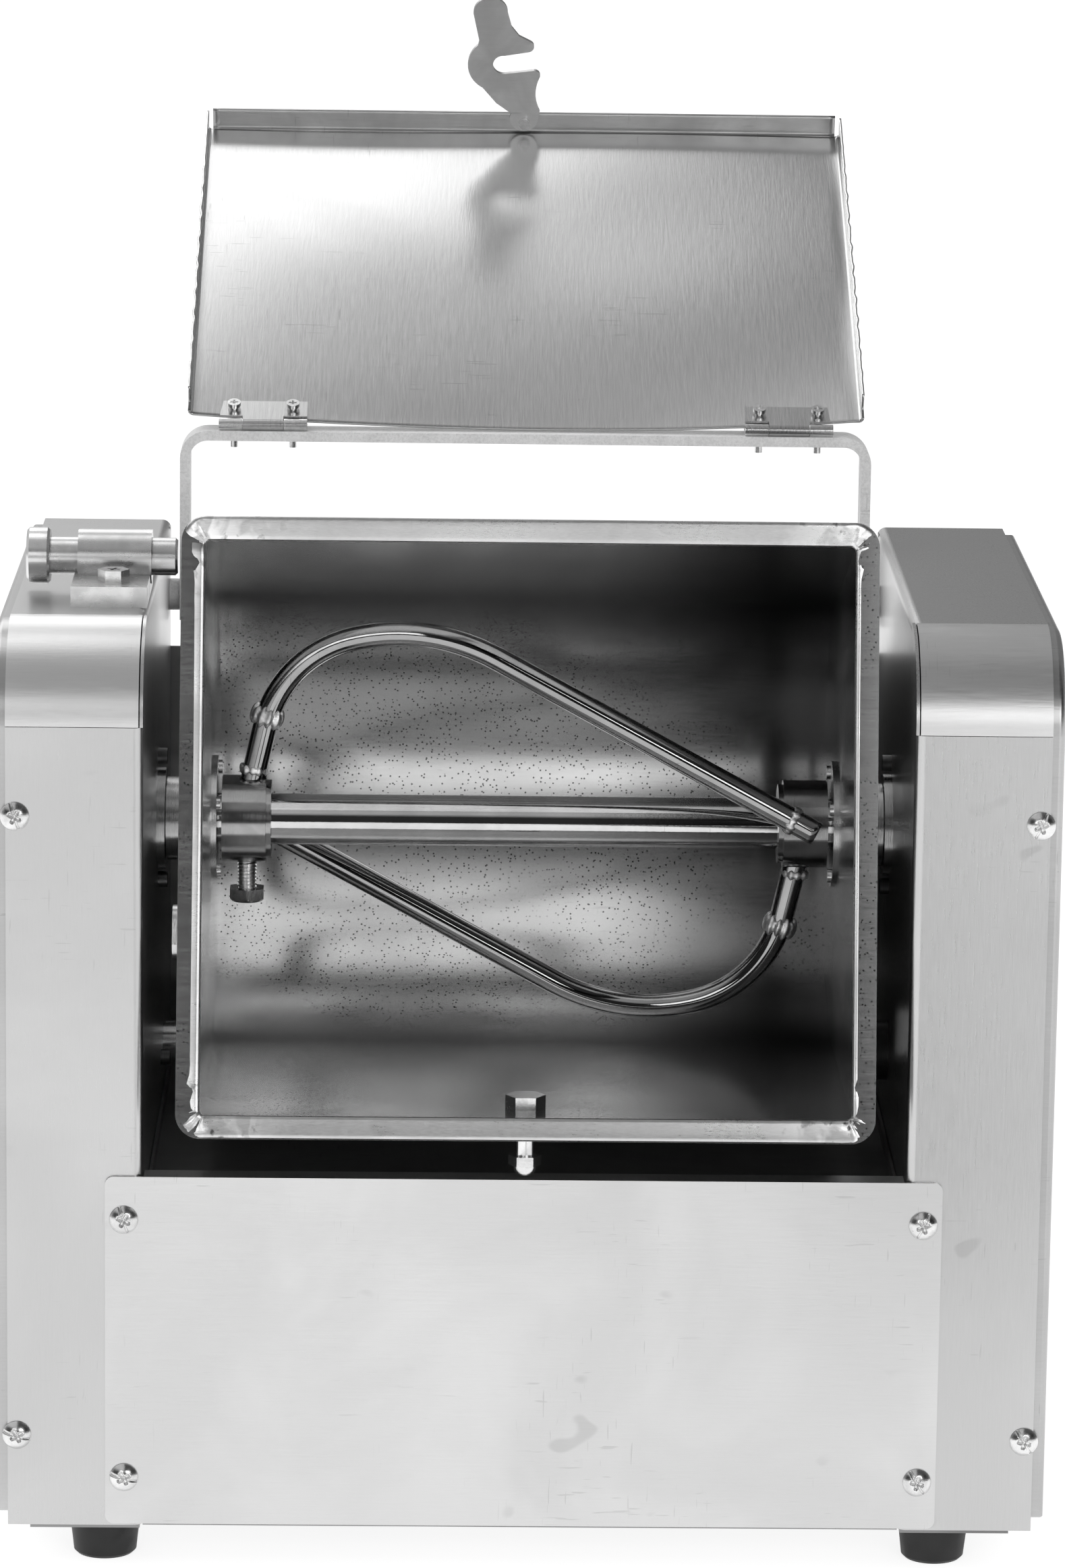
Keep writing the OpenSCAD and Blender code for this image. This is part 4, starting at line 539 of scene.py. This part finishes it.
def weld(centre, along, bead_r, seed):
    """A weld bead round the arm: a ring whose section swells in ripples, b (1 + 0.25 sin 11a + 0.15 sin 5a).

    The seed shifts both ripples, so that no two beads are alike. The section is longest along the arm.
    """
    along = np.asarray(along, float) / np.linalg.norm(along)
    side = np.cross(along, [0.21, 0.93, 0.31])
    side /= np.linalg.norm(side)
    third = np.cross(along, side)
    a = circle(72)[:, None]
    b = circle(14)[None, :]
    swell = bead_r * (1 + 0.25 * np.sin(11 * a + seed) + 0.15 * np.sin(5 * a + 2 * seed))
    out = ARM_R + swell * BEAD_OUT * np.cos(b)
    way = swell * BEAD_ALONG * np.sin(b)
    round_arm = np.cos(a)[..., None] * side + np.sin(a)[..., None] * third
    return np.asarray(centre) + out[..., None] * round_arm + way[..., None] * along


def make_arms():
    """Both arms and their welds. The lower arm is the upper one reflected through the shaft's middle."""
    line = arm_line()
    tube = swept(line, ARM_R, 36, np.array([math.sin(ARM_SWING), math.cos(ARM_SWING), 0]))
    for name, sign in (("upper_arm", 1), ("lower_arm", -1)):
        piece = make_piece(name + "_bar", [AXIS + sign * tube], "arm", "agitator", wrap_cols=True)
        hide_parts(name)
    fall = line[-1] - line[-2]
    beads = [
        weld(line[KINK], line[KINK + 1] - line[KINK - 1], bead_r=3.3, seed=0.4),
        weld(line[FOOT] + [0, 0, 3.2], [0.1, 0, 1], bead_r=1.5, seed=1.7),
        weld(line[END] - fall * 2.4, fall, bead_r=1.6, seed=2.9),
    ]
    rings = [AXIS + sign * bead for bead in beads for sign in (1, -1)]
    make_piece("arm_welds", rings, "weld", "agitator", wrap_rows=True, wrap_cols=True)


def lathe(radius, angle, height):
    """Places round z, with the radius at each angle and height."""
    return np.stack(np.broadcast_arrays(radius * np.cos(angle), radius * np.sin(angle), height), -1)


def hex_head(across, height, chamfer):
    """A hexagon head on z: out to half its width / cos(a - nearest flat), cut by a cone at its far edge."""
    a = circle(96)
    half_side = math.pi / 6
    flat = across / 2 / np.cos((a + half_side) % (2 * half_side) - half_side)
    levels = np.array([0.0, 0.0, 0.3, 0.55, 0.7, 0.8, 0.88, 0.94, 1.0, 1.0]) * height
    cone = across / 2 / math.cos(half_side) + chamfer * (0.7 * height - levels)
    radius = np.minimum(flat[None, :], np.maximum(cone, across / 2 * 0.95)[:, None])
    radius[[0, -1]] = 0
    return lathe(radius, a, levels[:, None])


def thread(low, high, outer, pitch, depth):
    """A screw thread on z: its radius falls by depth with distance from the helix, z / pitch - a / turn."""
    sides, steps_per_turn = 48, 8
    z = np.linspace(low, high, int((high - low) / pitch * steps_per_turn))[:, None]
    a = circle(sides)[None, :]
    phase = (z / pitch - a / (2 * math.pi)) % 1.0
    radius = outer - depth * np.abs(2 * phase - 1) ** 0.9
    tube = lathe(radius, a, z)
    first, last = (np.broadcast_to([0, 0, v], (1, sides, 3)) for v in (low, high))
    return np.concatenate([first, tube, last])


def make_collar_bolt():
    """The set bolt that hangs from the clamp collar, head down."""
    place = np.array([-(HUB_X + HUB_LEN / 2), AXIS_Y, AXIS_Z])
    head_down = np.array([1, -1, -1])
    top = -HUB_R - BOLT_STANDS_OUT
    head = hex_head(across=16.5, height=6.4, chamfer=0.9) * head_down + place + [0, 0, top]
    shank = thread(top - 0.5, -HUB_R + 2, COLLAR_BOLT_R, pitch=1.75, depth=1.0) + place
    piece = make_piece("collar_bolt_threaded", [shank], "screw", "agitator", wrap_cols=True)
    make_piece("collar_bolt_head", [head], "hub", "agitator", wrap_cols=True, smooth=False)
    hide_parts("collar_bolt")


# Screw heads


HEAD_R, HEAD_H = 6.8, 2.9
RECESS_HALF_W, RECESS_REACH, RECESS_DEPTH = 0.75, 3.0, 1.9
SLOT_HALF_W, SLOT_DEPTH = 0.5, 0.8
HEAD_RIM_H, HEAD_FLOOR_H = 0.5, 0.05
FIRST_TURN, NEXT_TURN = 0.5, 2.17


def inside(distance, edge, softness):
    """1 inside an edge and 0 beyond it: 1 / (1 + exp((distance - edge) / softness))."""
    return 1 / (1 + np.exp(np.clip((distance - edge) / softness, -40, 40)))


def screw_head(turn):
    """A truss head: a low dome, 1 - r^2.6, that drops in a cross recess and in one full slot."""
    r = np.concatenate([np.linspace(0, 1, 30) ** 0.85, [1.0, 0.0]])[:, None] * HEAD_R
    a = circle(96)[None, :]
    x, y = r * np.cos(a - turn), r * np.sin(a - turn)
    dome = HEAD_H * (1 - (r / HEAD_R) ** 2.6) + HEAD_RIM_H
    bars = [
        inside(np.abs(across), RECESS_HALF_W, 0.1) * inside(np.abs(along), RECESS_REACH, 0.2)
        for across, along in ((x, y), (y, x))
    ]
    slot = inside(np.abs(x + y) / math.sqrt(2), SLOT_HALF_W, 0.08)
    z = dome - RECESS_DEPTH * np.maximum(*bars) - SLOT_DEPTH * slot * (r < HEAD_R)
    z = np.maximum(z, HEAD_FLOOR_H)
    z[-2:] = 0.0
    return lathe(r, a, z)


def make_screws():
    """Heads on the panels' and the covers' screws, at the CAD model's places, each turned its own way."""
    places = {
        "panel_screws": (188.85, 157.0, (45.0, 171.8)),
        "cover_screws": (239.6, 155.5, (65.2, 365.6)),
    }
    for name, (x, y, heights) in places.items():
        heads = []
        corners = [(side, face, z) for side in (-1, 1) for face in (-1, 1) for z in heights]
        for i, (side, face, z) in enumerate(corners):
            head = screw_head(FIRST_TURN + NEXT_TURN * i)
            outward = np.stack([head[..., 0], face * head[..., 2], head[..., 1]], -1)
            heads.append(outward + [side * x, face * y, z])
        piece = make_piece(name + "_heads", heads, "screw", "frame", wrap_cols=True)
        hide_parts(name)


# Tub rim


# The rim's section from the mouth outward: how far across, and how high over the mouth.
RIM_ACROSS = np.array([0.0, 0.0, 0.02, 0.07, 0.2, 0.4, 0.6, 0.8, 0.93, 0.98, 1.0, 1.0, 0.9, 0.9])
RIM_RISE = np.array([-2.2, -0.9, -0.35, 0.15, 0.3, 0.33, 0.33, 0.3, 0.1, -0.4, -1.0, -1.9, -2.1, -2.2])
RIM_INSET, RIM_MARGIN = 0.2, RIM_W + 0.1
INNER_CORNER_R, OUTER_CORNER_R = 2.5, 11.6
WELD_REACH = 14.0
REAR_LIFT, RIGHT_DROP, LEFT_DROP = 2.4, 2.0, 1.0


def rounded_outline(half, front, rear, corner, per_side=60, per_corner=14):
    """Places round a rectangle with rounded corners, each side and each corner in a fixed number of steps."""
    corners = [
        ((half - corner, corner - front), -90),
        ((half - corner, rear - corner), 0),
        ((corner - half, rear - corner), 90),
        ((corner - half, corner - front), 180),
    ]
    rounds = [arc(centre, corner, a, a + 90, per_corner) for centre, a in corners]
    parts = []
    for bend, following in zip(rounds, rounds[1:] + rounds[:1]):
        parts.append(bend)
        parts.append(np.linspace(bend[-1], following[0], per_side + 2)[1:-1])
    return np.concatenate(parts)


def make_rim():
    """The ground rim: ruled from the mouth's inner outline to the folded outer one, with rounded edges.

    Where the corners were welded it swells: two sines of the way round, times sin(pi * across), times
    exp(-(distance to the corner / WELD_REACH)^2). Its outer edge is lifted along the mouth's rear and dropped
    at its two ends.
    """
    inner, outer = (
        rounded_outline(TUB_HALF + more, FRONT_REACH + more, REAR_REACH + more, corner)
        for more, corner in ((-RIM_INSET, INNER_CORNER_R), (RIM_MARGIN, OUTER_CORNER_R))
    )
    across = RIM_ACROSS
    flat = inner[:, None] * (1 - across)[None, :, None] + outer[:, None] * across[None, :, None]
    length = np.concatenate([[0], np.cumsum(np.linalg.norm(np.diff(outer, axis=0), axis=1))])[:, None]
    middle = flat.mean(axis=1)
    short_x = np.minimum(np.abs(middle[:, 0]) - TUB_HALF, 0)
    short_y = np.minimum(np.maximum(middle[:, 1] - REAR_REACH, -FRONT_REACH - middle[:, 1]), 0)
    near_corner = np.exp(-((short_x ** 2 + short_y ** 2) / WELD_REACH ** 2))[:, None]
    ripple = 0.35 * np.sin(length * 0.55) + 0.25 * np.sin(length * 1.7 + across * 5)
    swell = near_corner * ripple * np.sin(np.clip(across, 0, 1) * math.pi)
    outward = (outer - inner) / np.linalg.norm(outer - inner, axis=1, keepdims=True)
    right, rear = outward[:, 0], outward[:, 1]
    to_rear, to_right, to_left = (np.maximum(share, 0) ** 2 for share in (rear, right, -right))
    lean = REAR_LIFT * to_rear - RIGHT_DROP * to_right - LEFT_DROP * to_left
    height = MOUTH_H + RIM_RISE[None, :] + swell + lean[:, None] * across[None, :] ** 1.2
    grid = tipped(np.concatenate([flat, height[..., None]], -1), TILT, AXIS_Y, AXIS_Z)
    make_piece("tub_rim_face", [grid], "rim", "tub", wrap_rows=True)


# Lid


LID_HALF, LID_LENGTH, LID_TOP = 171.0, 289.0, -3.0
LID_BEND_R, LID_FOLD, LID_WALL = 2.6, 12.5, 1.2
HINGE_GAP, FOLD_INSET = 3.3, 3.2
BOW, BOW_REACH = 7.0, 75.0
NOTCH_DEPTH, WAVE_STARTS = 7, 12
WAVE_MIDDLE, WAVE_REACH = 130, 110.0


def lid_section():
    """The lid's section across: a flange's edge, a bend, the panel, a bend and the other flange's edge."""
    a = np.radians(np.linspace(180, 90, 7))
    flange_z = np.linspace(LID_TOP - LID_FOLD, LID_TOP - LID_BEND_R - 0.5, 5)
    bend_x = -LID_HALF + LID_BEND_R + LID_BEND_R * np.cos(a)
    bend_z = LID_TOP - LID_BEND_R + LID_BEND_R * np.sin(a)
    left = np.concatenate([np.stack([np.full(5, -LID_HALF), flange_z], -1), np.stack([bend_x, bend_z], -1)])
    panel_half = LID_HALF - LID_BEND_R - 3
    middle = np.stack([np.linspace(-panel_half, panel_half, 70), np.full(70, LID_TOP)], -1)
    return np.concatenate([left, middle, left[::-1] * [-1, 1]])


def make_lid():
    """The lid's sheet: its section carried along its length, with a bow near the hinge, waves and a dent.

    The bow is BOW (1 - (x / half)^2) exp(-(back / BOW_REACH)^1.3), with back the distance from the hinged
    edge. The flanges' free edges wave by two sines where they were pressed, and stop short of the hinges. The
    panel's dent is a product of two sines. The front flange is a strip of its own with open corners.
    """
    section = lid_section()
    y = np.linspace(-LID_LENGTH + LID_BEND_R, -HINGE_GAP, 150)[:, None]
    x = np.broadcast_to(section[:, 0], (len(y), len(section)))
    z = np.broadcast_to(section[:, 1], x.shape)
    back = -HINGE_GAP - y
    bow = BOW * (1 - (x / LID_HALF) ** 2) * np.exp(-(back / BOW_REACH) ** 1.3)
    down = np.clip((LID_TOP - LID_BEND_R - z) / (LID_FOLD - LID_BEND_R), 0, 1)
    ripple = 0.3 * np.sin(y * 0.36) + 0.2 * np.sin(y * 0.61 + 1)
    pressed = (back > WAVE_STARTS) * np.exp(-((back - WAVE_MIDDLE) / WAVE_REACH) ** 4)
    wave = down ** 1.5 * ripple * pressed
    dent = 0.5 * np.sin(y * 0.03 + 0.8) * np.sin(x * 0.021 + 0.3)
    dent = dent * (1 - down) * (np.abs(x) < LID_HALF - LID_BEND_R)
    notch = np.where((down > 0) & (back < NOTCH_DEPTH), NOTCH_DEPTH - back, 0.0)
    sheet = np.stack([x + np.sign(x) * wave, np.broadcast_to(y, x.shape) - notch, z + bow + dent], -1)
    sheet = tipped(sheet, -LID_SWING, HINGE_Y, HINGE_Z)
    skin = make_piece("lid_sheet", [sheet], "lid", "lid", thickness=LID_WALL)
    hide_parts("lid_panel")
    make_front_fold()


def make_front_fold():
    """The lid's front flange: a bend and a flat drop, carried straight across between the side flanges."""
    a = np.radians(np.linspace(90, 180, 7))
    bend_y = -LID_LENGTH + LID_BEND_R + LID_BEND_R * np.cos(a)
    bend_z = LID_TOP - LID_BEND_R + LID_BEND_R * np.sin(a)
    drop_z = np.linspace(LID_TOP - LID_BEND_R - 0.8, LID_TOP - LID_FOLD, 6)
    drop = np.stack([np.full(6, -LID_LENGTH), drop_z], -1)
    fold = np.concatenate([np.stack([bend_y, bend_z], -1), drop])
    run = np.linspace(-LID_HALF + FOLD_INSET, LID_HALF - FOLD_INSET, 90)[:, None]
    strip = np.stack(np.broadcast_arrays(run, fold[None, :, 0], fold[None, :, 1]), -1)
    strip = tipped(strip, -LID_SWING, HINGE_Y, HINGE_Z)
    make_piece("lid_front_fold", [strip], "lid_fold", "lid", thickness=LID_WALL)


# Studio


WHITE = (1, 1, 1, 1)
FLOOR_HALF_M = 12.0
PAPER_TONE, CARD_TONE, FLOOR_GLOW = 0.45, 0.05, 0.82
# The room's strengths: the light it gives, its front at the level and high up, the shares of its front that
# are left where a flag hides it and at the far right, and its rear.
ROOM_LIGHT = 0.6
FRONT_DARK, FRONT_HIGH = 0.03, 0.5
FLAG_SHARE, RIGHT_SHARE = 0.03, 0.1
REAR_LEFT, REAR_RIGHT = 0.63, 0.22


def seen_rays(tree):
    """1 for the rays that show a thing (seen, reflected or refracted) and 0 for those that light it."""
    paths = node(tree, "ShaderNodeLightPath").outputs
    total = combine(tree, "ADD", paths["Is Camera Ray"], paths["Is Glossy Ray"])
    total = combine(tree, "ADD", total, paths["Is Transmission Ray"])
    return combine(tree, "MINIMUM", total, 1.0)


def make_floor():
    """A wide pale floor that shows white to the camera, and in reflections too, where no shadow falls.

    In reflections a narrow dark strip starts 0.6 m in front of the machine's middle, at its right, and runs
    forward, as black card gives steel a dark edge. paper is 0 on it, except for the camera's own rays.
    """
    far = FLOOR_HALF_M
    mesh = bpy.data.meshes.new("floor")
    mesh.from_pydata([(-far, -far, 0), (far, -far, 0), (far, far, 0), (-far, far, 0)], [], [(0, 1, 2, 3)])
    floor = bpy.data.objects.new("floor", mesh)
    bpy.context.scene.collection.objects.link(floor)
    material, tree, shader = new_material("pale_floor")
    shader.inputs["Roughness"].default_value = 0.9
    shader.inputs["Specular IOR Level"].default_value = 0.0
    shader.inputs["Emission Color"].default_value = WHITE
    place = split(tree, object_place(tree))
    slant = node(tree, "ShaderNodeMath", {1: 0.06, 2: -0.21}, {0: place["Y"]}, operation="MULTIPLY_ADD")
    beyond = combine(tree, "ADD", place["X"], slant.outputs[0])
    sides = larger(tree, ramp(tree, place["X"], 0.15, 0.2, 1.0, 0.0), ramp(tree, beyond, 0.0, 0.04))
    paper = larger(tree, sides, ramp(tree, place["Y"], -0.8, -0.6))
    paper = larger(tree, paper, node(tree, "ShaderNodeLightPath").outputs["Is Camera Ray"])
    tree.links.new(shader.inputs["Base Color"], mix(tree, paper, CARD_TONE, PAPER_TONE))
    shown = product(tree, product(tree, seen_rays(tree), FLOOR_GLOW), paper)
    tree.links.new(shader.inputs["Emission Strength"], shown)
    mesh.materials.append(material)


def make_world():
    """A studio room by the way a ray goes: white below the level, where the backdrop lies, and grey behind.

    In front it is dark at the level and grey above, except at the right, where it stays dark. Behind it is
    lighter on the left. It is the same room to the camera and in reflections, and an even light for all that
    the machine's diffuse parts gather.
    """
    world = bpy.data.worlds.new("studio")
    bpy.context.scene.world = world
    world.use_nodes = True
    tree = world.node_tree
    way = split(tree, node(tree, "ShaderNodeTexCoord").outputs["Generated"])
    high = ramp(tree, way["Z"], 0.42, 0.66, FRONT_DARK, FRONT_HIGH, eased=True)
    left = ramp(tree, way["X"], 0.02, 0.045, 1.0, FLAG_SHARE, eased=True)
    right = ramp(tree, way["X"], 0.1, 0.14, 0.0, RIGHT_SHARE, eased=True)
    front = product(tree, high, larger(tree, left, right))
    rear = ramp(tree, way["X"], -0.1, 0.1, REAR_LEFT, REAR_RIGHT, eased=True)
    behind = ramp(tree, way["Y"], -0.4, 0.2, eased=True)
    links = {"Factor": behind, "A": front, "B": rear}
    room = node(tree, "ShaderNodeMix", links=links, data_type="FLOAT").outputs[0]
    room = larger(tree, room, ramp(tree, way["Z"], -0.03, 0.0, 1.0, 0.0, eased=True))
    links = {"Factor": seen_rays(tree), "B": room}
    strength = node(tree, "ShaderNodeMix", {"A": ROOM_LIGHT}, links, data_type="FLOAT").outputs[0]
    background = tree.nodes["Background"]
    background.inputs["Color"].default_value = WHITE
    tree.links.new(background.inputs["Strength"], strength)


def softbox(name, place, aim, width, height, glow):
    """A rectangular lamp in metres, turned to face a point, that shows in a mirror with that glow."""
    data = bpy.data.lights.new(name, "AREA")
    data.shape = "RECTANGLE"
    data.size = width
    data.size_y = height
    data.energy = glow * math.pi * width * height
    lamp = bpy.data.objects.new(name, data)
    back = np.array(place, float) - np.array(aim, float)
    back /= np.linalg.norm(back)
    side = np.cross([0, 0, 1], back)
    side /= np.linalg.norm(side)
    lamp.matrix_world = placed(side, np.cross(back, side), back, place)
    lamp.visible_camera = False
    bpy.context.scene.collection.objects.link(lamp)


make_arms()
make_collar_bolt()
make_screws()
make_rim()
make_lid()
make_floor()
make_world()
softbox("high_left_box", (-0.5, 1.2, 1.5), (-0.05, 0.3, 0.55), 1.3, 0.8, 1.35)
softbox("overhead_box", (-0.55, 0.12, 1.7), (-0.2, 0.0, 0.45), 0.6, 0.6, 1.5)
softbox("front_right_box", (0.95, -2.5, 1.05), (0.1, 0, 0.35), 1.2, 0.8, 3.2)
softbox("front_left_box", (-0.85, -2.6, 1.15), (-0.1, 0, 0.35), 0.9, 0.7, 2.4)
bpy.context.scene.view_settings.view_transform = "Standard"
